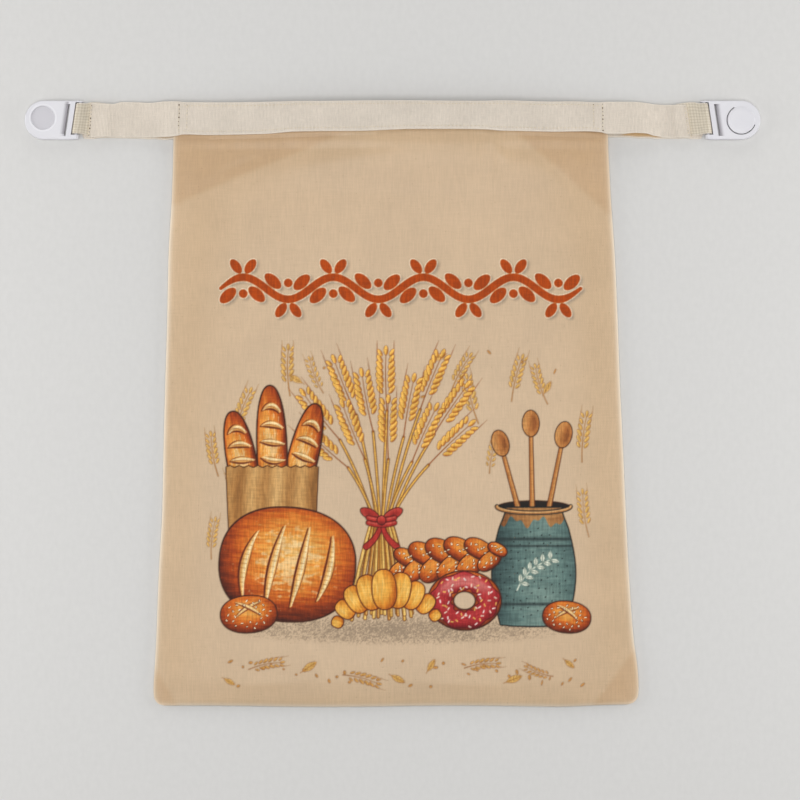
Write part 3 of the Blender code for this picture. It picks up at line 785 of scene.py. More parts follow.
@dataclass(frozen=True)
class WebbingFinish:
    """Ribbed cotton webbing.

    Attributes:
        colour: Screen colour of the threads.
        gap_colour: Screen colour between the threads.
        edge_colour: Screen colour of the edges.
        turned_colours: Screen colours of the weave's back and of its diamonds.
        painted_bounce_colour: Screen colour of painted light from the cloth, in the front band's shade.
        width: The strip's width.
    """

    colour: Triple = (216, 206, 193)
    gap_colour: Triple = (180, 165, 145)
    edge_colour: Triple = (226, 217, 204)
    turned_colours: tuple[Row, Row] = ((212, 203, 186), (184, 172, 152))
    painted_bounce_colour: Triple = (200, 160, 106)
    width: float = WEBBING_WIDTH
    pitch: float = 1.0 * MM
    thread: float = 0.9 * MM
    diamond: float = math.pi / (2.2 * MM)

    def material(self, name: str, effects: Effects) -> Material:
        """Ribs and threads from the strip's own map, brighter edges, and diamonds where wear says so."""
        material, graph, shader = new_material(name)
        own = graph.add("UVMap", uv_map="cloth").outputs[0]
        split = graph.add("SeparateXYZ", {0: own}).outputs
        sizes = {"Pitch": self.pitch, "Thread": self.thread}
        weave = graph.group(effects.ribs, Along=split[0], Across=split[1], **sizes).outputs
        streaks = graph.group(effects.streaks, Vector=own, Fineness=1600.0, Length=10.0).outputs[0]
        slow = graph.noise(own, 45.0, 3.0)
        gaps = graph.times(weave["Gap"], 0.75)
        base = graph.mix(gaps, linear(*self.colour), linear(*self.gap_colour))
        ways = [graph.math(kind, split[0], split[1]) for kind in ("ADD", "SUBTRACT")]
        waves = [graph.math("SINE", graph.times(way, self.diamond)) for way in ways]
        diamonds = graph.times(graph.ramp(graph.times(*waves), -0.5, 0.5), 0.7)
        back = graph.mix(diamonds, *(linear(*tone) for tone in self.turned_colours))
        base = graph.mix(graph.attribute("wear")["Fac"], base, back)
        tone = graph.times(graph.ramp(streaks, 0.3, 0.7, 0.92, 1.08), graph.ramp(slow, 0.3, 0.7, 0.96, 1.03))
        base = graph.mix(1.0, base, tone, "MULTIPLY")
        from_edge = graph.math("SUBTRACT", self.width / 2, graph.math("ABSOLUTE", split[1]))
        edge = graph.ramp(from_edge, 1.0 * MM, 0.4 * MM)
        colour = graph.mix(graph.times(edge, 0.6), base, linear(*self.edge_colour))
        relief = graph.plus(weave["Height"], graph.times(streaks, 0.6))
        # Painted light from the cloth and painted shade under the front band, where the tan attribute says
        # so.
        graph.fill(shader, {
            "Base Color": graph.mix(graph.attribute("tan")["Fac"], colour, linear(*self.painted_bounce_colour)),
            "Normal": graph.bump(relief, 0.5, 0.22 * MM), "Roughness": 0.85, "Specular IOR Level": 0.2,
            "Sheen Weight": 0.1, "Sheen Roughness": 0.5,
        })
        return material


@dataclass(frozen=True)
class PlasticFinish:
    """White moulded plastic with a fine satin grain.

    Attributes:
        colour: Screen colour.
        round_at: Middle of the round end's recess or button.
        reach: The recess's radius, or none for a button.
        slot: x where the slot's far side crosses y = 0 of the half, and the way to its round end.
        lean: How the slot leans.
        shade, ramp_shade: Screen colours of the painted shade in the recess and on the slot's ramp.
        lip_highlight: Screen colour of the highlight painted on the lip round the recess.
        ramp_long, ramp_half: The ramp's length and half its width.
    """

    round_at: Pair
    slot: Pair
    reach: float = 0.0
    lean: float = BAR_SLANT
    colour: Triple = (212, 211, 215)
    shade: Triple = (194, 192, 197)
    ramp_shade: Triple = (166, 163, 168)
    lip_highlight: Triple = (224, 223, 227)
    ramp_long: float = 3.6 * MM
    ramp_half: float = 11.6 * MM

    def _painted_shade_and_highlight(self, graph: Graph, place_at: Any, colour: Any) -> Any:
        """Paints shade on the ramp by slot distance, and shade in the recess and a lip highlight by radius.
        """
        split = graph.add("SeparateXYZ", {0: place_at}).outputs
        beside = graph.math("SUBTRACT", split[1], self.round_at[1])
        out = graph.times(graph.math("SUBTRACT", split[0], self.slot[0]), self.slot[1])
        out = graph.plus(out, graph.times(beside, self.lean))
        # Painted shade on the slot's ramp, fading out away from the slot.
        ramp = graph.ramp(out, self.ramp_long, 0.4 * MM)
        ramp = graph.times(ramp, graph.math("GREATER_THAN", out, -0.3 * MM))
        inside = graph.math("LESS_THAN", graph.math("ABSOLUTE", beside), self.ramp_half)
        colour = graph.mix(graph.times(ramp, inside), colour, linear(*self.ramp_shade))
        if self.reach:
            centre = graph.add("CombineXYZ", {0: self.round_at[0], 1: self.round_at[1]}).outputs[0]
            flat = graph.add("CombineXYZ", {0: split[0], 1: split[1]}).outputs[0]
            radius = graph.add("VectorMath", {0: flat, 1: centre}, operation="DISTANCE").outputs["Value"]
            # Painted highlight on the lip round the recess, then painted shade inside the recess.
            lip = graph.math("COMPARE", radius, self.reach + 0.7 * MM, 0.5 * MM)
            colour = graph.mix(graph.times(lip, 0.6), colour, linear(*self.lip_highlight))
            recess = graph.ramp(radius, self.reach, self.reach - 0.9 * MM)
            colour = graph.mix(recess, colour, linear(*self.shade))
        return colour

    def material(self, name: str, effects: Effects) -> Material:
        """A faint grain roughens the gloss, and a few dull specks tint the colour."""
        material, graph, shader = new_material(name)
        place_at = graph.add("TexCoord").outputs["Object"]
        grain = graph.noise(place_at, 900.0, 3.0)
        slow = graph.noise(place_at, 120.0, 2.0)
        flecks = graph.group(effects.flecks, Vector=place_at, Scale=700.0, Size=0.12, Share=0.04).outputs[0]
        colour = graph.mix(graph.ramp(slow, 0.3, 0.7, 0.0, 0.35), linear(*self.colour), linear(206, 205, 211))
        colour = graph.mix(graph.times(flecks, 0.3), colour, linear(196, 194, 196))
        graph.fill(shader, {
            "Base Color": self._painted_shade_and_highlight(graph, place_at, colour),
            "Roughness": graph.ramp(grain, 0.3, 0.7, 0.3, 0.42), "Normal": graph.bump(grain, 0.12, 0.05 * MM),
        })
        return material


@dataclass(frozen=True)
class BuckleHalf:
    """One half of the snap buckle: the solid's own faces, merged, with rounded edges.

    Attributes:
        node, body: The solid that it replaces and the body that it rides on.
        finish: Its plastic.
        shift: How far its recess lies from the solid's.
        moved: Radius of what is shifted, inside the round end.
        leg_face: The lower leg's inner side, and how much further in it stands here.
        round_over: Radius of its edges.
        merge, on_face: How near vertices are one, and how near a leg's face they belong to it.
        flat_angle, sharp_angle: Below the one faces are merged, and above the other edges are rounded.
    """

    node: str
    body: Body
    finish: PlasticFinish
    shift: Pair = (0.0, 0.0)
    moved: float = 9.3 * MM
    leg_face: Pair = (193.2 * MM, 2.2 * MM)
    round_over: float = 0.35 * MM
    merge: float = 0.01 * MM
    on_face: float = 0.15 * MM
    flat_angle: float = math.radians(1.0)
    sharp_angle: float = math.radians(32.0)

    def build(self, frame: dict[str, Any], effects: Effects) -> None:
        """Merges a copy of the solid's mesh, moves the recess, and rounds the sharp edges."""
        mesh = frame["nodes"][self.node].data.copy()
        mesh.name = self.node.replace("half", "shell")
        mesh.materials.clear()
        shape = bmesh.new()
        shape.from_mesh(mesh)
        bmesh.ops.remove_doubles(shape, verts=shape.verts, dist=self.merge)
        bmesh.ops.dissolve_limit(shape, angle_limit=self.flat_angle, verts=shape.verts, edges=shape.edges)
        shape.to_mesh(mesh)
        shape.free()
        points = np.empty(len(mesh.vertices) * 3, np.float32)
        mesh.vertices.foreach_get("co", points)
        points = points.reshape(-1, 3)
        solid_at = np.array(self.finish.round_at) - self.shift
        near = np.hypot(*(points[:, :2] - solid_at).T) < self.moved
        points[near, :2] += self.shift
        way = self.finish.slot[1]
        inner = np.abs(points[:, 1] - self.leg_face[0]) < self.on_face
        inner &= points[:, 0] * way < self.finish.slot[0] * way
        points[inner, :2] += (-way * self.finish.lean * self.leg_face[1], self.leg_face[1])
        mesh.vertices.foreach_set("co", points.ravel())
        mesh.shade_smooth()
        plastic = self.finish.material(f"{self.body.value}_plastic", effects)
        piece = place(mesh, plastic, self.body, Slot.PLASTIC)
        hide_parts(self.node)
        edges = piece.modifiers.new("rounded", "BEVEL")
        edges.width, edges.segments, edges.angle_limit = self.round_over, 3, self.sharp_angle
        edges.limit_method = "ANGLE"
        piece.modifiers.new("flat faces", "WEIGHTED_NORMAL").keep_sharp = True
        report(piece)


@dataclass(frozen=True)
class ThreadFinish:
    """Sewing thread, or the painted shade of a needle hole.

    Attributes:
        colour: Screen colour.
        roughness: How dull it is.
    """

    colour: Triple = (214, 200, 176)
    roughness: float = 0.8

    def material(self, name: str, effects: Effects) -> Material:
        """The colour with the unevenness of spun fibres."""
        material, graph, shader = new_material(name)
        place_at = graph.add("TexCoord").outputs["Object"]
        fibres = graph.group(effects.streaks, Vector=place_at, Fineness=4000.0, Length=4.0).outputs[0]
        colour = graph.mix(1.0, linear(*self.colour), graph.ramp(fibres, 0.3, 0.7, 0.8, 1.15), "MULTIPLY")
        graph.fill(shader, {"Base Color": colour, "Roughness": self.roughness})
        return material


@dataclass(frozen=True)
class Profile:
    """The flat oval section of webbing.

    Attributes:
        width, thickness: Its size.
        squareness: Power of the cosine and sine, lower for squarer corners.
        sides: Points round it.
    """

    width: float
    thickness: float
    squareness: float = 0.4
    sides: int = 28

    def points(self) -> tuple[Array, Array]:
        """Across and up at each point: half the size times the signed power of cosine and sine."""
        angles = 2 * math.pi * (np.arange(self.sides) + 0.5) / self.sides
        across, up = np.cos(angles), np.sin(angles)
        across = np.sign(across) * np.abs(across) ** self.squareness
        up = np.sign(up) * np.abs(up) ** self.squareness
        return self.width / 2 * across, self.thickness / 2 * up

    def cap(self, start: int, outward: bool) -> Faces:
        """Faces across the section whose first point has a number, seen from after it if outward."""
        i = np.arange(self.sides // 2 - 1)
        quads = np.stack([i, i + 1, self.sides - 2 - i, self.sides - 1 - i], axis=-1) + start
        return quads if outward else quads[:, ::-1]


@dataclass(frozen=True)
class Strip:
    """A length of ribbed webbing.

    Attributes:
        middle: Its mid-surface from distances along and across it.
        span: Where it starts and ends along.
        profile: Its section.
        pitch: Distance between ribs.
        steps: Sections for each rib.
        relief: How far the ribs stand out, as a share of half the thickness.
        scallop: How far the ribs stand out at the edges.
        turned: How strongly the ends show the weave's back, which has diamonds.
        tan: Painted cloth light and front band shade inside its edges: from x, to x, strength.
        tan_rim: Distances from the middle line over which the tan light ends.
        tan_blend: How softly it starts and ends along x, in millimetres.
        turned_reach: Distances from an end over which the weave's back gives way to its front.
    """

    middle: Callable[[Array, Array], Array]
    span: Pair
    profile: Profile
    pitch: float = 1.0 * MM
    steps: int = 4
    relief: float = 0.12
    scallop: float = 0.2 * MM
    turned: float = 0.0
    tan: Rows = ()
    tan_rim: Pair = (10.4 * MM, 11.4 * MM)
    tan_blend: Pair = (4.0, 6.0)
    turned_reach: Pair = (22 * MM, 28 * MM)

    def normal(self, u: Array, v: Array) -> Array:
        """The unit normal of the mid-surface, from small steps along and across."""
        step = 0.05 * MM
        along = self.middle(u + step, v) - self.middle(u - step, v)
        across = self.middle(u, v + step) - self.middle(u, v - step)
        normal = np.cross(along, across)
        return normal / np.linalg.norm(normal, axis=-1, keepdims=True)

    def top(self, u: Array, v: Array, lift: float = 0.0) -> Array:
        """Points on the strip's upper side, or a lift above it."""
        return self.middle(u, v) + self.normal(u, v) * (self.profile.thickness / 2 + lift)

    def mesh(self, name: str) -> Mesh:
        """The section carried along, thicker on each rib by |sin|, with caps at both ends."""
        across, up = self.profile.points()
        count = int((self.span[1] - self.span[0]) / self.pitch * self.steps) + 1
        u = np.linspace(*self.span, count)[:, None]
        rib = np.abs(np.sin(np.pi * u / self.pitch))
        edge = np.abs(across) / (self.profile.width / 2)
        v = across[None, :] + np.sign(across) * self.scallop * (rib - 0.5) * eased(edge, 0.9, 1.0)
        out = up[None, :] * (1 + self.relief * (rib - 0.5))
        wide_u = u + 0 * v
        points = self.middle(wide_u, v) + self.normal(wide_u, v) * out[..., None]
        sides = self.profile.sides
        quads = np.concatenate([
            grid_quads(count, sides, closed=True),
            self.profile.cap(0, outward=False),
            self.profile.cap((count - 1) * sides, outward=True),
        ])
        uv = np.stack([wide_u, v], axis=-1).reshape(-1, 2)
        from_end = np.minimum(wide_u - self.span[0], self.span[1] - wide_u)
        turned = self.turned * (1 - eased(from_end, *self.turned_reach))
        x, tan = points[..., 0] / MM, np.zeros(v.shape)
        rise, fall = self.tan_blend
        for from_x, to_x, strength in self.tan:
            in_span = eased(x, from_x - rise, from_x + rise) * (1 - eased(x, to_x - fall, to_x + fall))
            tan += strength * in_span
        tan *= 1 - eased(np.abs(v), *self.tan_rim)
        return mesh_from(name, points.reshape(-1, 3), quads, uv=uv, wear=turned, tan=tan)


@dataclass(frozen=True)
class StrapLoops:
    """The back band: flat on the floor, and turned up round each half's end bar into a tail on top.

    Attributes:
        shape: The bag that it belongs to.
        bars: x of the left and the right end bar.
        bar_radius: The end bars' radius.
        lean: How steeply the turned end comes down from the bar.
        foot: Where it is down again, from the bar.
        tail: How far the tail reaches from the bar.
        slant: How much the bars lean, for each unit across.
        slack: How far the turn stands off the bar at its outermost.
    """

    shape: BagShape
    bars: Pair = (-228.6 * MM, 227.9 * MM)
    bar_radius: float = 1.1 * MM
    lean: float = math.radians(30.0)
    foot: float = 6.8 * MM
    tail: float = 20.0 * MM
    slant: float = BAR_SLANT
    slant_reach: float = 25.0 * MM
    slack: float = 0.25 * MM
    # Columns: x, y
    line: Table = Table((
        (-234, 206.1), (-222, 206.1), (-204, 205.6), (-186, 205.2), (-165, 205), (165, 206.1), (172, 206),
        (186, 205.4), (194, 205.1), (206, 205.5), (222, 206.1), (234, 206.1),
    ))
    # How much of the half width shows. Columns: distance from the middle, the tail's lower side, the
    # underside's lower side, the tail's upper side
    sides: Table = Table((
        (206, 1.00, 1.00, 1.00), (213, 0.93, 1.03, 1.05), (217, 0.89, 1.09, 1.08),
        (220.5, 0.88, 1.09, 1.08), (222.4, 0.85, 1.08, 1.05), (225, 0.80, 0.80, 1.00),
        (236, 0.80, 0.80, 1.00),
    ))
    # Places where the lower layer peeks out. Columns: x, reach, height
    peeks: Rows = (
        (-166, 6, 0.8), (-178, 3, 0.4), (178, 3.5, 0.3), (192, 3, 0.25), (206, 5, 0.4),
    )

    def loop(self, steps: int) -> Array:
        """Side view of one end, outwards from the bar's axis: tail, slope, round the bar, underside."""
        thick = self.shape.webbing
        radius = self.bar_radius + self.shape.gap + thick / 2
        bar_height = radius + thick / 2
        tail_z = thick + self.shape.gap + thick / 2
        angles = np.linspace(math.pi / 2 + self.lean, -math.pi / 2, steps)
        out = radius * np.cos(angles) + self.slack * np.maximum(np.cos(angles), 0.0)
        ring = np.stack([out, bar_height + radius * np.sin(angles)], axis=-1)
        run = ring[0, 0] + self.foot
        t = np.linspace(0.0, 1.0, steps)[:-1]
        slope_z = hermite(t, tail_z, ring[0, 1], 0.0, math.tan(self.lean), run)
        slope = np.stack([t * run - self.foot, slope_z], axis=-1)
        return np.vstack([[[-self.tail, tail_z]], slope, ring])

    def section(self) -> tuple[Array, Array]:
        """The whole side view: distances along it, and x and z there."""
        path = self.loop(40)
        left = np.stack([self.bars[0] - path[:, 0], path[:, 1]], axis=-1)
        right = np.stack([self.bars[1] + path[:, 0], path[:, 1]], axis=-1)[::-1]
        points = np.vstack([left, right])
        along = np.concatenate([[0.0], np.cumsum(np.linalg.norm(np.diff(points, axis=0), axis=1))])
        return along, points

    def point(self, u: Array, v: Array) -> Array:
        """Mid-surface at a distance along the section and across it."""
        along, points = self.section()
        x, z = np.interp(u, along, points[:, 0]), np.interp(u, along, points[:, 1])
        on_top = z > self.shape.webbing + self.shape.gap
        near_left = np.where(on_top, x < 0, eased(-x, -self.bars[0] - self.slant_reach, -self.bars[0]))
        near_right = np.where(on_top, x > 0, eased(x, self.bars[1] - self.slant_reach, self.bars[1]))
        shown = self.sides.at(np.abs(x) / MM)
        lower = np.where(on_top, shown[..., 0], shown[..., 1])
        v = v * np.where(v < 0, lower, np.where(on_top, shown[..., 2], 1.0))
        y = self.line.at(x / MM)[..., 0] * MM + v
        for middle, reach, height in self.peeks:
            y = y - np.where(on_top, 0.0, height * MM * np.exp(-(((x / MM - middle) / reach) ** 2)))
        return np.stack([x + self.slant * v * (near_left - near_right), y, z + 0 * y], axis=-1)

    def length(self) -> float:
        """The strip's whole length."""
        return float(self.section()[0][-1])


@dataclass(frozen=True)
class Cloth:
    """The two panels of the bag.

    Attributes:
        shape: How the bag lies.
        thickness: What the cloth shows as, with its turned edges.
        wear: How strong the highlight painted along the seam edges is.
        edge_highlight_reach: How far in it reaches.
        tan: How strongly painted shade darkens both panels beyond the corner facets' lines.
        front_size, back_size: Grid sizes.
    """

    shape: BagShape
    thickness: float = 0.8 * MM
    wear: float = 0.7
    edge_highlight_reach: float = 1.6 * MM
    tan: float = 0.9
    front_size: tuple[int, int, int, int] = (161, 170, 44, 10)
    back_size: tuple[int, int, int] = (61, 90, 10)

    def build(self, twill: Material, plain: Material) -> None:
        front = self._sheet("front_cloth", self.shape.front_grid(*self.front_size), twill, Slot.TWILL)
        back = self._sheet("back_cloth", self.shape.back_grid(*self.back_size), plain, Slot.PLAIN_TWILL)
        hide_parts("front_panel")
        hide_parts("back_panel")

    def _sheet(self, name: str, points: Array, material: Material, slot: Slot) -> Object:
        """One panel: its grid given the cloth's thickness by Solidify."""
        rows, columns = points.shape[:2]
        sides = np.minimum(points[..., 0] - points[:, :1, 0], points[:, -1:, 0] - points[..., 0])
        from_edge = np.minimum(sides, points[..., 1] - points[:1, :, 1])
        # Painted highlight along the seam edges, strongest at the edge and fading inwards.
        wear = self.wear * np.exp(-((from_edge / self.edge_highlight_reach) ** 1.2))
        # Painted shade beyond the corner facets' lines.
        tan = self.tan * self.shape.facet_share(points[..., 0], points[..., 1])
        mesh = mesh_from(name, points.reshape(-1, 3), grid_quads(rows, columns), wear=wear, tan=tan)
        piece = place(mesh, material, Body.BAG, slot)
        wall = piece.modifiers.new("thickness", "SOLIDIFY")
        wall.thickness = self.thickness
        wall.offset = 0.0
        wall.use_even_offset = True
        report(piece)
        return piece


@dataclass(frozen=True)
class Bands:
    """The front and the back webbing band.

    Attributes:
        shape: How the bag lies.
        loops: The back band's side view.
    """

    shape: BagShape
    loops: StrapLoops

    def _profile(self) -> Profile:
        """The webbing's section."""
        return Profile(self.shape.webbing_width, self.shape.webbing)

    def front(self) -> Strip:
        """The front band as a strip, its distance along being x."""
        return Strip(self.shape.band_point, self.shape.band_ends, self._profile())

    def back(self) -> Strip:
        """The back band with its loops as a strip."""
        # The tan spans paint light from the cloth and shade under the front band on the lower layer.
        return Strip(self.loops.point, (0.0, self.loops.length()), self._profile(), steps=3, turned=1.0,
                     tan=((167.0, 203.0, 0.85), (-178.0, -158.0, 0.5)))

    def build(self, webbing: Material) -> None:
        front = place(self.front().mesh("front_webbing"), webbing, Body.BAG, Slot.WEBBING)
        back = place(self.back().mesh("back_webbing"), webbing, Body.BAG, Slot.WEBBING)
        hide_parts("front_band")
        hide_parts("back_band")
        self.loops.length()
        report(front)
        report(back)


@dataclass(frozen=True)
class StitchRow:
    """One row of stitches on a strip.

    Attributes:
        start, end: Distances along and across the strip, in millimetres.
        pitch: Distance between needle holes.
        hole: How large the painted shade of the needle holes is against the usual, or 0 for none.
    """

    start: Pair
    end: Pair
    pitch: float = 3.0
    hole: float = 1.0


@dataclass(frozen=True)
class Stitching:
    """The stitch rows on the front band.

    Attributes:
        strip: The front band.
        thread: The thread's width.
        share: How much of the pitch a stitch shows.
        rise, sunk: Height of a stitch's arc, and the share of it that is below the webbing.
        hole, stray: Half sizes of a needle hole's painted shade, and how far it strays from its place.
        hole_lift: How far above the webbing it is.
        sides, rings: Points round a thread, and sections along it.
        rows: The rows.
    """

    strip: Strip
    thread: float = 0.5 * MM
    share: float = 0.66
    rise: float = 0.22 * MM
    hole: Pair = (0.55 * MM, 0.5 * MM)
    stray: float = 0.22 * MM
    hole_lift: float = 0.11 * MM
    sunk: float = 0.55
    sides: int = 6
    rings: int = 7
    rows: Sequence[StitchRow] = (
        StitchRow((-154.7, 9.6), (-154.7, -5.4)),
        StitchRow((-154.7, -5.4), (-154.7, -11.4), hole=0.5),
        StitchRow((-148.9, 9.8), (-148.9, 3.8), hole=0.55),
        StitchRow((-148.9, 3.8), (-148.9, -8.2), hole=0.35),
        StitchRow((152.1, 10.3), (152.1, 7.3), hole=0.5),
        StitchRow((152.1, 7.3), (152.1, -10.7)),
        StitchRow((145.5, 9.8), (145.5, 3.8), hole=0.7),
        StitchRow((145.5, 3.8), (145.5, -8.2), hole=0.35),
        StitchRow((-152.0, 9.4), (150.0, 9.4), pitch=2.7, hole=0.0),
        StitchRow((-152.0, -9.6), (150.0, -9.6), pitch=2.7, hole=0.0),
        StitchRow((-219.1, 10.0), (-219.1, 1.0), hole=0.7),
        StitchRow((-219.1, 1.0), (-219.1, -11.0), pitch=2.4, hole=0.95),
        StitchRow((213.4, 10.4), (213.4, -10.4), hole=0.4),
    )
    # Loose ends of the weave. Columns: end, first across, last across, count, in millimetres
    frays: Rows = (
        (215, -11.6, 11.6, 25), (-220, 11.6, -11.6, 19),
    )

    def build(self, thread: Material, dark: Material) -> None:
        """Makes one mesh of all the threads and one of the painted shade of the needle holes that show."""
        threads, holes = [], []
        for row in self.rows:
            start, end = np.array(row.start), np.array(row.end)
            count = max(int(round(float(np.linalg.norm(end - start)) / row.pitch)), 1)
            knots = (start + (end - start) * np.linspace(0, 1, count + 1)[:, None]) * MM
            threads.append(self._threads(knots[:-1], knots[1:]))
            if row.hole:
                holes.append(self._holes(knots, row.hole))
        for end, first, last, count in self.frays:
            threads.append(self._threads(*self._fray(end, first, last, int(count))))
        self._join("band_stitches", threads, thread)
        self._join("needle_holes", holes, dark)

    @staticmethod
    def _fray(end: float, first: float, last: float, count: int) -> tuple[Array, Array]:
        """Starts and ends of short threads that stick out of the band's end by uneven lengths."""
        k = np.arange(count)
        v = np.linspace(first, last, count) + 0.25 * np.sin(5.1 * k)
        out = 0.5 + 0.75 * np.abs(np.sin(2.3 * k + 0.4))
        way = math.copysign(1.0, end)
        starts = np.stack([np.full(count, end - way * 0.9), v], axis=-1)
        ends = np.stack([end + way * out, v + 0.3 * np.sin(3.7 * k)], axis=-1)
        return starts * MM, ends * MM

    def _threads(self, starts: Array, ends: Array) -> tuple[Array, Faces]:
        """Each stitch: a thin tube between two places that rises by a half sine and sinks at its ends."""
        sides, rings = self.sides, self.rings
        t = np.linspace(0.0, 1.0, rings)[None, :, None]
        lean = (1 - self.share) / 2
        at = starts[:, None, :] + (ends - starts)[:, None, :] * (lean + self.share * t)
        lift = (np.sin(np.pi * t[..., 0]) - self.sunk) * self.rise
        u, v = at[..., 0], at[..., 1]
        middle = self.strip.top(u, v) + self.strip.normal(u, v) * lift[..., None]
        run = middle[:, -1] - middle[:, 0]
        run = run / np.linalg.norm(run, axis=-1, keepdims=True)
        up = self.strip.normal(u[:, 0], v[:, 0])
        side = np.cross(run, up)
        angles = 2 * np.pi * np.arange(sides) / sides
        radius = self.thread / 2 * np.sqrt(np.clip(1 - (2 * t[..., 0] - 1) ** 4, 0.04, 1.0))
        cos, sin = np.cos(angles)[None, :, None], np.sin(angles)[None, :, None]
        out = cos * side[:, None, :] - sin * up[:, None, :]
        points = middle[:, :, None, :] + radius[..., None, None] * out[:, None, :, :]
        cap = np.array([(0, 1, 2, 5), (5, 2, 3, 4)])
        wall = grid_quads(rings, sides, closed=True)
        faces = np.concatenate([wall, cap[:, ::-1], cap + (rings - 1) * sides])
        return points.reshape(-1, 3), self._repeat(faces, len(points), rings * sides)

    def _holes(self, knots: Array, size: float) -> tuple[Array, Faces]:
        """Each needle hole's painted shade: a flat eight-sided oval over the webbing, of uneven size and
        place.
        """
        angles = 2 * np.pi * (np.arange(8) + 0.5) / 8
        k = np.arange(len(knots))[:, None]
        grown = size * (0.85 + 0.25 * np.sin(4.3 * k + 1.0))
        u = knots[:, None, 0] + self.stray * np.sin(7.3 * k) + self.hole[1] * grown * np.cos(angles)
        v = knots[:, None, 1] + self.stray * np.sin(3.1 * k) + self.hole[0] * grown * np.sin(angles)
        points = self.strip.top(u, v, lift=self.hole_lift)
        faces = np.array([(0, 1, 2, 3), (0, 3, 4, 7), (4, 5, 6, 7)])
        return points.reshape(-1, 3), self._repeat(faces, len(knots), 8)

    @staticmethod
    def _repeat(faces: Faces, count: int, step: int) -> Faces:
        """The same faces for each of a number of copies."""
        return (faces[None] + step * np.arange(count)[:, None, None]).reshape(-1, 4)

    @staticmethod
    def _join(name: str, parts: list[tuple[Array, Faces]], material: Material) -> None:
        """Places several meshes' arrays as one piece on the bag."""
        starts = np.cumsum([0] + [len(points) for points, _ in parts])
        faces = np.concatenate([quads + start for (_, quads), start in zip(parts, starts)])
        mesh = mesh_from(name, np.concatenate([points for points, _ in parts]), faces)
        report(place(mesh, material, Body.BAG, Slot.WEBBING))


def tones(share: Array, *stops: Row) -> Array:
    """A screen colour for each share from 0 to 1, mixed evenly between the given colours."""
    table = np.array(stops, float)
    place_at = np.clip(share, 0.0, 1.0) * (len(stops) - 1)
    channels = [np.interp(place_at, np.arange(len(stops)), table[:, i]) for i in range(3)]
    return np.stack(channels, axis=-1)


def blend(first: Array, second: Array, share: Array) -> Array:
    """Two colours, or a colour for each place, mixed by a share for each place."""
    first, second = np.asarray(first, float), np.asarray(second, float)
    return first + (second - first) * np.clip(share, 0.0, 1.0)[..., None]


class Grain:
    """Smooth noise from one table of random numbers, the same in each run.

    Attributes:
        table: The random numbers.
    """

    def __init__(self, seed: int, size: int = 96) -> None:
        """Fills the table."""
        self.table = np.random.default_rng(seed).random((size, size))

    def at(self, x: Array, y: Array) -> Array:
        """The four table entries round each place, mixed by 3t squared minus 2t cubed."""
        size = len(self.table)
        column, row = np.floor(x).astype(int), np.floor(y).astype(int)
        s, t = eased(x - column, 0.0, 1.0), eased(y - row, 0.0, 1.0)
        left, right = column % size, (column + 1) % size
        low, high = (
            self.table[line % size, left] * (1 - s) + self.table[line % size, right] * s
            for line in (row, row + 1)
        )
        return low * (1 - t) + high * t

    def strokes(self, x: Array, y: Array, long: float, wide: float) -> Array:
        """Brush marks from -1 to 1: noise drawn out to a length along x and a width along y."""
        coarse = self.at(x / long, y / wide)
        fine = self.at(x / long * 2.3 + 31.7, y / wide * 2.1 + 17.3)
        return 1.3 * coarse + 0.7 * fine - 1.0


@dataclass(frozen=True)
class Spot:
    """A place on the cloth with a direction, in millimetres and degrees."""

    x: float
    y: float
    turn: float = 0.0

    @property
    def xy(self) -> Pair:
        """The place alone."""
        return self.x, self.y

    def _way(self) -> Pair:
        """Cosine and sine of the direction."""
        return math.cos(math.radians(self.turn)), math.sin(math.radians(self.turn))

    def local(self, x: Array, y: Array) -> tuple[Array, Array]:
        """Places seen from the spot, turned back by its direction."""
        cos, sin = self._way()
        return (x - self.x) * cos + (y - self.y) * sin, (y - self.y) * cos - (x - self.x) * sin

    def out(self, u: float, v: float, turn: float = 0.0) -> "Spot":
        """The spot at a local place, turned further."""
        cos, sin = self._way()
        return Spot(self.x + u * cos - v * sin, self.y + u * sin + v * cos, self.turn + turn)


Tint = Callable[[Array, Array, Array], Array]
Window = tuple[slice, slice]
DARK_LINE = (66, 30, 18)


def shaded(base: float, along: float, across: float, *stops: Row) -> Tint:
    """A tint that runs over the given colours by base + along * u + across * v."""
    return lambda u, v, r: tones(base + along * u + across * v, *stops)


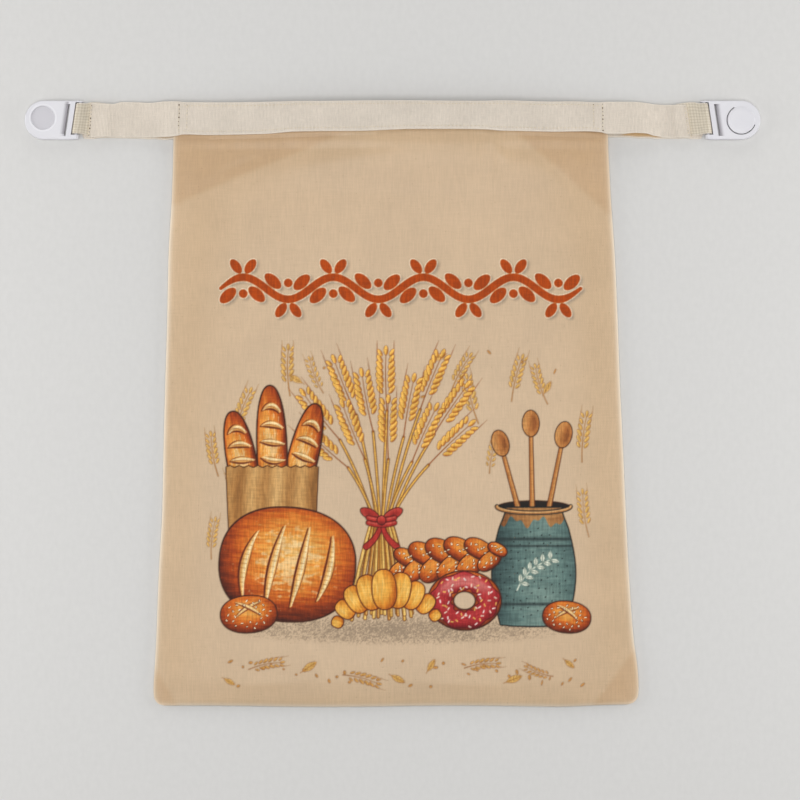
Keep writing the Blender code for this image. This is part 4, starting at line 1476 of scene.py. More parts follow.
class Canvas:
    """Ink on an even grid of places on the cloth.

    Attributes:
        x, y: The grid in millimetres.
        colour: The ink's screen colour at each place.
        cover: How much of the cloth it hides, from 0 to 1.
        grain: Noise for brush marks.
    """

    def __init__(self, low: Pair, high: Pair, step: float) -> None:
        """Starts bare."""
        columns = int(round((high[0] - low[0]) / step)) + 1
        rows = int(round((high[1] - low[1]) / step)) + 1
        self.low, self.step = low, step
        self.x, self.y = np.meshgrid(low[0] + step * np.arange(columns), low[1] + step * np.arange(rows))
        self.colour = np.zeros(self.x.shape + (3,))
        self.cover = np.zeros(self.x.shape)
        self.grain = Grain(seed=11)

    def window(self, low: Row, high: Row) -> Window:
        """Rows and columns inside a box."""
        def span(axis: int) -> slice:
            """The part of one axis."""
            first, last = (int((end[axis] - self.low[axis]) / self.step) for end in (low, high))
            return slice(max(first, 0), max(last + 2, 0))

        return span(1), span(0)

    def around(self, at: Spot, reach: Pair, above: float = 0.0) -> tuple[Window, Array, Array]:
        """The window that reaches so far to each side of a spot, and its places seen from the spot.

        Args:
            at: The spot.
            reach: How far it reaches along x and y.
            above: How far it reaches up instead, or 0.

        Returns:
            The window, and along and across at each of its places.
        """
        high = (at.x + reach[0], at.y + (above or reach[1]))
        window = self.window((at.x - reach[0], at.y - reach[1]), high)
        return window, *at.local(self.x[window], self.y[window])

    def lay(self, window: Window, cover: Array, colour: Array) -> None:
        """Paints over what is there: cover times the new ink plus the rest of the old."""
        cover = np.clip(cover, 0.0, 1.0)
        total = cover + self.cover[window] * (1 - cover)
        share = cover / np.maximum(total, 1e-6)
        self.colour[window] = blend(self.colour[window], colour, share)
        self.cover[window] = total

    def form(self, window: Window, level: Array, colour: Array, line: float = 0.6,
             line_colour: Row = DARK_LINE, edge: float = 0.8, cover: float = 1.0) -> None:
        """Paints a form that is the inside of a level set, with a line along its outline.

        Args:
            window: Where it is.
            level: Negative inside. Over its own slope it gives the distance from the outline.
            colour: The ink.
            line, line_colour: Width and colour of the outline, inside the form.
            edge: How soft the outline is.
            cover: How much of what is under it the ink hides.
        """
        if min(level.shape) < 2:
            return
        slope_y, slope_x = np.gradient(level, self.step)
        away = level / np.maximum(np.hypot(slope_x, slope_y), 1e-3)
        rim = 1 - eased(-away, 0.55 * line, 1.25 * line + 0.01)
        self.lay(window, (0.5 - away / edge) * cover, blend(colour, line_colour, rim * (line > 0)))

    def blob(self, at: Spot, size: Pair, tint: Tint, power: float = 2.0, **looks: Any) -> None:
        """Paints a rounded form: |u| ** power + |v| ** power under 1, its tint from u, v and radius."""
        reach = max(size) * (1.0 if power <= 2 else 1.3) + 2.5
        window, u, v = self.around(at, (reach, reach))
        u, v = u / size[0], v / size[1]
        radius = (np.abs(u) ** power + np.abs(v) ** power) ** (1 / power)
        self.form(window, radius - 1, tint(u, v, radius), **looks)

    def stroke(self, points: Rows, widths: Row | float, colour: Row,
               edge: float = 0.8, cover: float = 1.0) -> None:
        """Paints a brush stroke through points, as wide at each as given, or of one width."""
        path = np.array(points, float)
        wide = np.broadcast_to(np.array(widths, float) / 2, len(path))
        reach = float(wide.max()) + 1.5
        window = self.window(path.min(axis=0) - reach, path.max(axis=0) + reach)
        x, y = self.x[window], self.y[window]
        away = np.full(x.shape, 1e3)
        for start, end, from_wide, to_wide in zip(path, path[1:], wide, wide[1:]):
            run = end - start
            t = ((x - start[0]) * run[0] + (y - start[1]) * run[1]) / max(float(run @ run), 1e-6)
            t = np.clip(t, 0.0, 1.0)
            gap = np.hypot(x - start[0] - t * run[0], y - start[1] - t * run[1])
            away = np.minimum(away, gap - from_wide - (to_wide - from_wide) * t)
        self.lay(window, (0.5 - away / edge) * cover, colour)

    def ink(self, columns: slice) -> Array:
        """Linear red, green and blue and the cover of some columns of the grid, one row a point."""
        light = to_light(self.colour[:, columns])
        return np.concatenate([light, self.cover[:, columns, None]], axis=-1).reshape(-1, 4)


def bent(start: Row, end: Row, bow: float, count: int = 9) -> Array:
    """Points along an arc between two places, its middle off the straight line by bow."""
    start, end = np.array(start, float), np.array(end, float)
    t = np.linspace(0.0, 1.0, count)[:, None]
    run = end - start
    side = np.array([-run[1], run[0]]) / max(float(np.hypot(*run)), 1e-6)
    return start + run * t + side * bow * 4 * t * (1 - t)


@dataclass(frozen=True)
class Ear:
    """An ear of wheat on a bent stem.

    Attributes:
        at: The foot of its stem, pointing to its tip.
        length: From the foot to the top grain.
        grains: Number of grains on each side.
        plump: Length of a grain.
        bow: How far the stem bends.
        cover: How strong the ink is.
        light, dark: Its colours.
    """

    at: Spot
    length: float = 34.0
    grains: int = 6
    plump: float = 5.6
    bow: float = 1.5
    cover: float = 0.85
    light: Triple = (222, 178, 98)
    dark: Triple = (168, 112, 44)

    def paint(self, canvas: Canvas) -> None:
        """A stem, pairs of grains that lean out from it, one on top, and thin awns."""
        tip = self.at.out(self.length, 0.0)
        path = bent(self.at.xy, tip.xy, self.bow)
        canvas.stroke(path, np.linspace(0.9, 0.5, len(path)), self.dark, cover=self.cover)
        first = 0.32 if self.length > 26 else 0.2
        for i in range(self.grains):
            share = first + (0.95 - first) * i / (self.grains - 1)
            bow = self.bow * 4 * share * (1 - share)
            small = 1.0 - 0.35 * abs(share - 0.55) / 0.45
            for side in (-1, 1):
                grain = self.at.out(share * self.length, bow + side * 0.34 * self.plump, side * 32.0)
                self._grain(canvas, grain.out(0.3 * self.plump, 0.0), small)
                if i > self.grains - 4:
                    awn = [grain.out(0.7 * self.plump, 0.0).xy]
                    awn.append(grain.out(1.5 * self.plump, -side * 0.5 * self.plump).xy)
                    canvas.stroke(awn, (0.5, 0.25), self.dark, cover=0.7 * self.cover)
        self._grain(canvas, tip.out(0.2 * self.plump, 0.0), 0.8)

    def _grain(self, canvas: Canvas, at: Spot, small: float) -> None:
        """One grain: an oval, lighter along its upper side."""
        size = (0.52 * self.plump * small, 0.26 * self.plump * small)
        tint = shaded(0.5, 0.2, 0.45, self.dark, self.light, self.light)
        canvas.blob(at, size, tint, line=0.28, line_colour=self.dark, cover=self.cover)


@dataclass(frozen=True)
class Leaf:
    """A pointed leaf with a middle rib."""

    at: Spot
    length: float = 12.0
    width: float = 5.0
    cover: float = 0.8
    light: Triple = (214, 170, 96)
    dark: Triple = (166, 110, 46)
    ribs: int = 4

    def paint(self, canvas: Canvas) -> None:
        """A lens form, |v| under width times 1 - u squared, with a rib and side veins."""
        window, u, v = canvas.around(self.at, (self.length, self.length))
        u = u / (self.length / 2)
        level = np.abs(v) / (self.width / 2) - np.maximum(1 - u**2, -0.3)
        colour = tones(0.55 + 0.3 * v / self.width - 0.2 * u, self.dark, self.light, self.light)
        canvas.form(window, level, colour, line=0.4, line_colour=self.dark, cover=self.cover)
        foot, tip = self.at.out(-0.62 * self.length, 0.0), self.at.out(0.4 * self.length, 0.0)
        canvas.stroke([foot.xy, tip.xy], (0.7, 0.3), self.dark, cover=self.cover)
        for i in range(self.ribs):
            share = -0.28 + 0.56 * i / max(self.ribs - 1, 1)
            for side in (-1, 1):
                vein = [self.at.out(share * self.length, 0.0).xy]
                vein.append(self.at.out((share + 0.13) * self.length, side * 0.3 * self.width).xy)
                canvas.stroke(vein, (0.4, 0.25), self.dark, cover=0.7 * self.cover)


@dataclass(frozen=True)
class Seeds:
    """Seeds scattered over an oval by turning a golden angle for each.

    Attributes:
        at: The oval's middle and direction.
        reach: Its half sizes.
        count: How many.
        size: Half length and half width of a seed.
        colour: Their colour.
        lean: How much their direction varies.
        inner: The share of the oval that is left free in its middle.
        line: Width of a seed's outline, or 0 for flat specks.
    """

    at: Spot
    reach: Pair
    count: int
    size: Pair = (1.3, 0.65)
    colour: Triple = (246, 226, 188)
    lean: float = 70.0
    inner: float = 0.0
    line: float = 0.22

    def paint(self, canvas: Canvas) -> None:
        """Seed k stands at the square root of its share of the oval, a golden angle further round."""
        tint = shaded(0.6, 0.0, 0.4, DARK_LINE, self.colour, self.colour)
        for k in range(self.count):
            share = math.sqrt(self.inner**2 + (1 - self.inner**2) * (k + 0.5) / self.count)
            angle = math.radians(GOLDEN_ANGLE * k)
            u, v = self.reach[0] * share * math.cos(angle), self.reach[1] * share * math.sin(angle)
            at = self.at.out(u, v, self.lean * math.sin(2.7 * k))
            ink = tint if self.line else lambda u, v, r: self.colour
            canvas.blob(at, self.size, ink, line=self.line, edge=0.7)


CRUST = ((58, 24, 16), (112, 42, 18), (164, 66, 20), (206, 104, 32), (228, 150, 62), (242, 196, 116))
GOLD = ((104, 44, 14), (172, 84, 20), (214, 130, 38), (234, 172, 72), (246, 208, 124))
ICING = ((92, 16, 20), (140, 28, 32), (178, 46, 48), (206, 84, 80), (232, 140, 128))
GLAZE = ((38, 52, 52), (66, 88, 86), (96, 122, 116), (128, 150, 140), (168, 184, 170))
WOOD = ((88, 44, 20), (140, 78, 36), (184, 118, 60), (212, 156, 92))


@dataclass(frozen=True)
class RoundLoaf:
    """A round loaf with long scores and flour on its crown."""

    at: Spot
    size: Pair
    scores: int = 4
    score_wide: float = 5.0

    def paint(self, canvas: Canvas) -> None:
        """The crust lightens towards its upper middle, and each score is a pale bent slash."""
        def crust(u: Array, v: Array, r: Array) -> Array:
            """Strokes over a glow, and flour where the noise is high."""
            marks = canvas.grain.strokes(u * self.size[0] + 9 * v, v * self.size[1], 9.0, 1.3)
            glow = 0.86 - 0.62 * r**2.2 + 0.22 * v + 0.08 * u + 0.13 * marks
            colour = tones(glow, *CRUST)
            flour = canvas.grain.strokes(u * 40, v * 40, 3.5, 2.2) + 1.0 - 1.5 * r
            return blend(colour, (246, 220, 172), 0.55 * eased(flour, 0.35, 0.9))

        canvas.blob(self.at, self.size, crust, power=2.3, line=1.3)
        for i in range(self.scores):
            share = (i + 0.5) / self.scores * 2 - 1
            half = 0.74 * self.size[1] * math.sqrt(1 - (0.8 * share) ** 2)
            a = self.at.out(0.72 * share * self.size[0] - 0.16 * half, -half)
            b = self.at.out(0.72 * share * self.size[0] + 0.16 * half, 0.9 * half)
            self._score(canvas, a.xy, b.xy, -5.0 * share)

    def _score(self, canvas: Canvas, start: Pair, end: Pair, bow: float) -> None:
        """A slash: dark under, crumb over it, a bright lip, and short cross strokes."""
        path = bent(start, end, bow, 15)
        swell = np.sin(np.pi * np.linspace(0.03, 0.97, len(path)))
        canvas.stroke(path + (-0.7, -0.5), self.score_wide * 1.35 * swell + 0.5, (96, 36, 16))
        canvas.stroke(path, self.score_wide * swell + 0.3, (222, 160, 84))
        canvas.stroke(path + (0.5, 0.3), 0.55 * self.score_wide * swell + 0.2, (244, 208, 142))
        canvas.stroke(path + (1.0, 0.6), 0.12 * self.score_wide * swell + 0.2, (252, 234, 190), cover=0.9)
        for i in range(1, len(path) - 1):
            wide = 0.4 * self.score_wide * swell[i]
            tick = [path[i] - (wide, 0.3 * wide), path[i] + (0.5 * wide, -0.5 * wide)]
            canvas.stroke(tick, (0.45, 0.25), (150, 78, 30), cover=0.6)


@dataclass(frozen=True)
class Sack:
    """An open paper sack that long loaves stand in."""

    at: Spot = Spot(-87.0, -92.0)
    size: Pair = (34.0, 48.0)
    folds: int = 7

    def paint(self, canvas: Canvas) -> None:
        """A square-shouldered form with a notched rim and upright folds."""
        window, u, v = canvas.around(self.at, (self.size[0] + 3, self.size[1] + 3))
        notch = 1.4 * np.abs(((u / 3.4) % 2) - 1)
        wide = self.size[0] * (0.94 + 0.06 * v / self.size[1])
        level = np.maximum(np.abs(u) - wide, np.maximum(v - self.size[1] + notch, -self.size[1] - v))
        fold = np.sin(u / self.size[0] * self.folds * 1.7 + 0.6 * np.sin(v / 13))
        marks = canvas.grain.strokes(u, v, 1.3, 11.0)
        lit = 0.60 + 0.16 * fold - 0.30 * (u / self.size[0]) ** 2 + 0.08 * marks
        lit = lit - 0.10 * eased(-v, 0.0, 40.0)
        paper = tones(lit, (118, 74, 36), (170, 118, 62), (206, 158, 96), (226, 186, 126))
        canvas.form(window, level, paper, line=0.9, line_colour=(84, 48, 22))


@dataclass(frozen=True)
class Crescent:
    """A crescent roll of overlapping wound layers.

    Attributes:
        at: The middle of its arc's chord.
        radius: The arc's radius.
        sweep: Half the arc's angle.
        plump: Half width at the middle.
        layers: Layers on each side of the middle one.
    """

    at: Spot
    radius: float = 40.0
    sweep: float = 62.0
    plump: float = 15.0
    layers: int = 4

    def paint(self, canvas: Canvas) -> None:
        """From the tips to the middle, each layer is an oval across the arc that covers the one before."""
        for k in range(self.layers, -1, -1):
            for side in ((-1, 1) if k else (1,)):
                self._layer(canvas, side * k / self.layers, side)

    def _layer(self, canvas: Canvas, share: float, side: int) -> None:
        """One layer: bright along its middle, streaked round the roll, dark where it dips under."""
        angle = math.radians(90.0 + self.sweep * share)
        small = 1.0 - 0.68 * abs(share) ** 1.4
        out = self.radius * math.sin(angle) - self.radius
        at = self.at.out(self.radius * math.cos(angle), out, math.degrees(angle))
        size = (self.plump * small, 0.62 * self.plump * small**0.6)

        def crust(u: Array, v: Array, r: Array) -> Array:
            """Strokes round the roll over a bright middle."""
            marks = canvas.grain.strokes(v * size[1] * 1.2 + 40 * share, u * size[0], 1.2, 6.0)
            glow = 0.78 - 0.35 * u**2 - 0.3 * (v * side) ** 2 + 0.24 * v * side + 0.1 * u + 0.14 * marks
            return tones(glow, *GOLD)

        canvas.blob(at, size, crust, power=2.4, line=0.9, line_colour=(92, 38, 14))


@dataclass(frozen=True)
class PlaitedLoaf:
    """A plaited loaf with seeds."""

    at: Spot
    length: float = 90.0
    plump: float = 17.0
    strands: int = 6

    def paint(self, canvas: Canvas) -> None:
        """Leaning ovals in turn above and below the middle, each over the one before, then seeds."""
        for seeded in (False, True):
            for k in range(2 * self.strands):
                share = (k + 0.5) / (2 * self.strands) * 2 - 1
                plump = self.plump * math.sqrt(max(1 - (0.9 * share) ** 2, 0.05))
                side = 1 if k % 2 else -1
                out = side * (0.42 if seeded else 0.34) * plump
                at = self.at.out(0.44 * self.length * share, out, side * -34.0)
                if seeded:
                    Seeds(at, (0.5 * plump, 0.2 * plump), 6, (1.1, 0.6), lean=50.0).paint(canvas)
                else:
                    self._strand(canvas, at, (0.82 * plump, 0.5 * plump), 7.0 * k)

    @staticmethod
    def _strand(canvas: Canvas, at: Spot, size: Pair, shift: float) -> None:
        """One strand: glossy on top, streaked along its length."""
        def crust(u: Array, v: Array, r: Array) -> Array:
            """Strokes along the strand over a glossy top."""
            marks = canvas.grain.strokes(u * size[0] + shift, v * size[1] + shift, 6.0, 0.9)
            glow = 0.72 - 0.42 * r**2 + 0.3 * v + 0.12 * marks
            return tones(glow, *CRUST)

        canvas.blob(at, size, crust, power=2.2, line=0.9)


@dataclass(frozen=True)
class RingBun:
    """A ring bun with icing that runs down in waves, and sprinkles."""

    at: Spot
    size: Pair = (30.0, 26.0)
    hole: float = 0.27
    waves: int = 9
    sprinkles: int = 64

    def paint(self, canvas: Canvas) -> None:
        """The bun is the ring between hole and 1; the icing's rims add waves to smaller circles."""
        reach = max(self.size) + 3
        window, u, v = canvas.around(self.at, (reach, reach))
        u, v = u / self.size[0], v / self.size[1]
        angle, radius = np.arctan2(v, u), np.hypot(u, v)
        middle, half = (1 + self.hole) / 2, (1 - self.hole) / 2
        ring = np.abs(radius - middle) / half
        marks = canvas.grain.strokes(angle * 24, radius * 26, 7.0, 1.1)
        bun = tones(0.7 - 0.5 * ring**2 + 0.2 * v + 0.12 * marks, *CRUST)
        canvas.form(window, ring - 1, bun, line=1.0)
        wavy = 0.8 + 0.09 * np.sin(self.waves * angle) + 0.04 * np.sin(4 * angle + 1)
        lit = 0.5 - 0.35 * ring**2 + 0.34 * v * np.sign(radius - middle + 0.05) * ring + 0.14 * marks
        shine = np.exp(-(((ring - 0.15) / 0.3) ** 2)) * eased(v, 0.1, 0.5)
        icing = blend(tones(lit, *ICING), (244, 180, 166), 0.5 * shine)
        canvas.form(window, ring / wavy - 1, icing, line=0.8, line_colour=(92, 18, 20))
        for k in range(self.sprinkles):
            turn = math.radians(GOLDEN_ANGLE * k)
            share = middle + half * 0.6 * math.sin(1.9 * k)
            u, v = math.cos(turn) * share * self.size[0], math.sin(turn) * share * self.size[1]
            at = self.at.out(u, v, 50.0 * k)
            colour = ((250, 236, 210), (244, 196, 96), (252, 246, 236))[k % 3]
            canvas.stroke([at.xy, at.out(1.5, 0.0).xy], 0.85, colour)


@dataclass(frozen=True)
class SmallRoll:
    """A small roll with a cross cut in its top and seeds round it."""

    at: Spot
    size: Pair = (19.0, 14.0)
    seeds: int = 26

    def paint(self, canvas: Canvas) -> None:
        """A glossy dome, its cut in two bent slashes."""
        def crust(u: Array, v: Array, r: Array) -> Array:
            """Strokes over a glow."""
            marks = canvas.grain.strokes(u * self.size[0] + self.at.x, v * self.size[1], 7.0, 1.1)
            return tones(0.8 - 0.55 * r**2 + 0.26 * v + 0.12 * marks, *CRUST)

        canvas.blob(self.at, self.size, crust, power=2.2, line=0.9)
        for turn, bow in ((28.0, 1.5), (150.0, -1.5)):
            mid = self.at.out(0.0, 0.25 * self.size[1], turn)
            a, b = mid.out(-0.5 * self.size[0], 0.0), mid.out(0.5 * self.size[0], 0.0)
            path = bent(a.xy, b.xy, bow)
            swell = np.sin(np.pi * np.linspace(0.05, 0.95, len(path)))
            canvas.stroke(path, 3.0 * swell + 0.3, (116, 46, 18))
            canvas.stroke(path + (0.3, 0.3), 1.7 * swell + 0.2, (242, 204, 138))
        reach = (0.82 * self.size[0], 0.78 * self.size[1])
        Seeds(self.at, reach, self.seeds, (1.0, 0.55), inner=0.45).paint(canvas)


@dataclass(frozen=True)
class Crock:
    """A glazed crock with a rolled rim, speckles and bands.

    Attributes:
        at: The middle of its foot.
        half: Half its width at the belly.
        height: From the foot to the rim.
    """

    at: Spot
    half: float = 31.0
    height: float = 84.0

    def paint(self, canvas: Canvas) -> None:
        """Its half width is a cosine swell over the height, narrower to the neck under a flared rim."""
        window, u, v = canvas.around(self.at, (self.half + 4, 6.0), above=self.height + 8)
        t = v / self.height
        wide = self.half * (0.80 + 0.20 * np.cos(2.6 * (t - 0.42) * 1.4) - 0.04 * eased(t, 0.8, 0.95))
        foot = -3.4 * np.sqrt(np.clip(1 - (u / self.half) ** 2, 0, 1))
        level = np.maximum(np.abs(u) - wide, np.maximum(foot - v, v - self.height))
        side = u / self.half
        marks = canvas.grain.strokes(u + 3 * np.sin(v / 7), v, 10.0, 1.6)
        lit = 0.62 - 0.42 * side**2 + 0.26 * side * 0.6 - 0.1 * t + 0.12 * marks
        glaze = tones(lit, *GLAZE)
        rings = ((0.72, 0.016), (0.66, 0.01), (0.16, 0.014))
        bands = sum(np.exp(-(((t - at) / reach) ** 2)) for at, reach in rings)
        glaze = blend(glaze, (36, 46, 46), 0.75 * bands)
        drip = 0.86 + 0.035 * np.sin(u / 3.1) + 0.02 * np.sin(u / 1.3 + 2)
        glaze = blend(glaze, tones(lit + 0.15, *WOOD), 0.85 * eased(t, drip, drip + 0.015))
        canvas.form(window, level, glaze, line=1.1, line_colour=(28, 32, 32))
        middle, reach = self.at.out(0.0, 0.42 * self.height), (0.86 * self.half, 0.4 * self.height)
        Seeds(middle, reach, 90, (0.55, 0.4), (34, 42, 42), line=0.0).paint(canvas)
        self._sprig(canvas)

    def rim(self, canvas: Canvas, front: bool) -> None:
        """The rim's dark mouth, or the front half of its rolled edge."""
        at = self.at.out(0.0, self.height)
        size = (0.86 * self.half, 4.6)
        if not front:
            canvas.blob(at, size, shaded(0.3, 0.0, 0.4, (20, 16, 14), (52, 40, 34)), line=0.8)
            return
        angles = np.linspace(math.pi, 2 * math.pi, 25)
        path = np.stack([at.x + size[0] * np.cos(angles), at.y + size[1] * np.sin(angles)], axis=-1)
        canvas.stroke(path, 3.4, (28, 32, 32))
        canvas.stroke(path, 2.0, (170, 112, 62))
        canvas.stroke(path + (0.3, 0.4), 0.7, (222, 176, 118))

    def _sprig(self, canvas: Canvas) -> None:
        """A pale sprig of leaves painted on the belly."""
        foot, tip = self.at.out(-12.0, 0.28 * self.height), self.at.out(12.0, 0.54 * self.height)
        path = bent(foot.xy, tip.xy, 4.0, 7)
        canvas.stroke(path, 0.9, (214, 218, 198))
        for i in range(1, len(path)):
            for side in (-1, 1):
                leaf = Spot(*path[i], 40.0 + 52.0 * side).out(3.4, 0.0)
                Leaf(leaf, 7.0, 3.4, 1.0, (222, 224, 204), (128, 146, 134), ribs=0).paint(canvas)


@dataclass(frozen=True)
class Spoon:
    """A wooden spoon that stands in a crock."""

    foot: Pair
    tip: Pair
    bowl: Pair = (10.0, 6.6)

    def paint(self, canvas: Canvas) -> None:
        """A tapered handle, then the bowl as an oval with a darker hollow."""
        run = (self.tip[0] - self.foot[0], self.tip[1] - self.foot[1])
        turn = math.degrees(math.atan2(run[1], run[0]))
        handle = np.array([self.foot, self.tip])
        canvas.stroke(handle, (4.4, 3.4), WOOD[0])
        canvas.stroke(handle, (3.0, 2.2), WOOD[2])
        canvas.stroke(handle + (0.5, 0.0), (0.7, 0.6), WOOD[3])
        at = Spot(*self.tip, turn).out(0.8 * self.bowl[0], 0.0)

        def wood(u: Array, v: Array, r: Array) -> Array:
            """Grain along the bowl, darker in its hollow."""
            marks = canvas.grain.strokes(u * 10, v * 7, 5.0, 0.9)
            hollow = 1 - eased(np.hypot(u, v), 0.5, 0.75)
            return tones(0.72 + 0.2 * v + 0.12 * marks - 0.32 * hollow * (0.4 - v), *WOOD)

        canvas.blob(at, self.bowl, wood, line=0.8, line_colour=(70, 34, 16))


@dataclass(frozen=True)
class Sheaf:
    """A tied sheaf of wheat: stems that cross at the tie and fan out to large ears.

    Attributes:
        tie: Where it is tied.
        foot: y of the stems' ends.
        ears: Where the ears' feet are, with their direction.
    """

    tie: Pair = (-8.0, -84.0)
    foot: float = -156.0
    spread: float = 25.0
    ears: Rows = (
        (-38, -26, 128), (30, -22, 56), (-26, -8, 112), (20, -4, 68), (-14, -20, 101), (8, -24, 80),
        (-32, -46, 138), (26, -44, 44), (-4, -5, 91), (-20, -40, 112), (14, -42, 66), (-3, -40, 90),
    )

    def paint(self, canvas: Canvas) -> None:
        """Feet first, then each stem with its ear, then the tie over them."""
        stems = 19
        for k in range(stems):
            share = (k / (stems - 1) * 2 - 1) * (1 if k % 2 else 0.86)
            end = (self.tie[0] + self.spread * share, self.foot + 5.0 * abs(math.sin(2.3 * k)))
            path = bent((self.tie[0] + 7.5 * share, self.tie[1]), end, 1.6 * share)
            tone = ((206, 150, 62), (232, 186, 96), (182, 118, 44))[k % 3]
            canvas.stroke(path, 2.9, (104, 58, 20))
            canvas.stroke(path, 1.9, tone)
            canvas.stroke(path + (0.35, 0.0), 0.5, (246, 214, 138), cover=0.8)
        for x, y, _ in self.ears:
            off = x - self.tie[0]
            path = bent((self.tie[0] + 0.2 * off, self.tie[1]), (x, y), 0.06 * off)
            canvas.stroke(path, 2.3, (104, 58, 20))
            canvas.stroke(path, 1.4, (222, 170, 80))
        for x, y, turn in self.ears:
            Ear(Spot(x, y, turn), 42.0, 7, 8.6, 0.6, 1.0, (240, 186, 88), (150, 78, 22)).paint(canvas)
        self._band(canvas)

    def _band(self, canvas: Canvas) -> None:
        """The tie: a red ribbon twice round, with two loops and two ends."""
        x, y = self.tie
        red, deep = (176, 48, 40), (84, 20, 18)

        def silk(u: Array, v: Array, r: Array) -> Array:
            """Lighter towards the loop's rim."""
            return tones(0.3 + 0.5 * r + 0.2 * v, deep, red, (206, 84, 70))

        for side in (-1, 1):
            loop = Spot(x, y, 90.0 - 62.0 * side).out(9.5, 0.0)
            canvas.blob(loop, (8.0, 4.0), silk, line=0.8, line_colour=deep)
            path = bent((x, y), (x + side * 11.0, y - 19.0), side * -2.5)
            canvas.stroke(path, np.linspace(3.4, 5.2, len(path)), deep)
            canvas.stroke(path, np.linspace(2.2, 4.0, len(path)), red)
        for shift in (1.8, -1.8):
            path = bent((x - 9.5, y + shift), (x + 9.5, y + shift), -1.4)
            canvas.stroke(path, 4.2, deep)
            canvas.stroke(path, 3.0, red)
            canvas.stroke(path + (0.0, 0.5), 0.7, (220, 110, 92), cover=0.8)
        knot = shaded(0.5, 0.0, 0.4, deep, red, (214, 96, 80))
        canvas.blob(Spot(x, y), (3.6, 3.8), knot, line=0.8, line_colour=deep)


@dataclass(frozen=True)
class Vine:
    """A bold running vine: a waving stem with leaves and berries in each bay."""

    start: Pair = (-124.0, 83.5)
    end: Pair = (136.0, 83.5)
    bays: int = 8
    rise: float = 8.0
    thick: float = 5.6
    colour: Triple = (174, 67, 0)
    outline: Triple = (238, 220, 192)
    shade: Triple = (150, 134, 118)

    def paint(self, canvas: Canvas) -> None:
        """The same vine three times: a soft offset shade, a wider pale one, and the ink itself."""
        self._run(canvas, (1.7, -1.3), 1.0, self.shade, edge=2.0, cover=0.6)
        self._run(canvas, (0.0, 0.0), 1.5, self.outline, edge=1.0, cover=0.85)
        self._run(canvas, (0.0, 0.0), 0.0, self.colour, edge=0.7, cover=1.0)

    def _run(self, canvas: Canvas, shift: Pair, grow: float, colour: Row,
             edge: float, cover: float) -> None:
        """Stem y is a sine over the bays; leaves lean along it above and below, a berry between."""
        length = self.end[0] - self.start[0]
        bay = length / self.bays
        x = np.linspace(self.start[0], self.end[0], 12 * self.bays + 1)
        y = self.start[1] + self.rise * np.sin(np.pi * (x - self.start[0]) / bay)
        path = np.stack([x, y], axis=-1) + shift
        ends = np.minimum(np.minimum(x - x[0], x[-1] - x) / 14.0, 1.0)
        canvas.stroke(path, self.thick * (0.45 + 0.55 * ends) + grow, colour, edge=edge, cover=cover)

        def mark(x: float, y: float, turn: float, size: Pair) -> None:
            """One leaf or berry in the flat ink."""
            grown = (size[0] + grow / 2, size[1] + grow / 2)
            canvas.blob(Spot(x + shift[0], y + shift[1], turn), grown, lambda u, v, r: colour,
                        power=1.9, line=0.0, edge=edge, cover=cover)

        leaf = (7.4, 4.1)
        for k in range(self.bays):
            side = 1 if k % 2 == 0 else -1
            middle = self.start[0] + (k + 0.5) * bay
            for lean, reach, size in ((-0.34, 0.5, leaf), (0.30, 0.5, leaf), (0.0, 0.95, (3.2, 3.2))):
                level = self.rise * math.sin(math.pi * (0.5 + lean)) * side
                y = self.start[1] + level - side * (self.thick * 0.5 + size[1] * 0.6 + 7.5 * reach)
                turn = -side * 42.0 * (1 if lean > 0 else -1) if lean else 0.0
                mark(middle + lean * bay, y, turn, size)
            for lean in (-0.16, 0.16):
                y = self.start[1] + side * (self.rise + self.thick * 0.5 + 5.0)
                mark(middle + lean * bay, y, 90.0 - 36.0 * np.sign(lean) * side, (6.0, 3.4))


@dataclass(frozen=True)
class Ground:
    """The speckled shade that the picture's things stand on."""

    at: Spot = Spot(6.0, -163.0)
    size: Pair = (142.0, 13.0)
    colour: Triple = (112, 98, 84)

    def paint(self, canvas: Canvas) -> None:
        """Ink in fine grains, denser towards the middle of the oval."""
        window, u, v = canvas.around(self.at, self.size)
        x, y = canvas.x[window], canvas.y[window]
        depth = 1 - np.hypot(u / self.size[0], v / self.size[1])
        speck = canvas.grain.at(x / 0.9, y / 0.9) * 0.6 + canvas.grain.at(x / 0.5 + 40, y / 0.5) * 0.4
        cover = eased(speck + 0.4 * depth, 0.42, 0.95) * eased(depth, 0.0, 0.35) * 0.6
        canvas.lay(window, cover, self.colour)


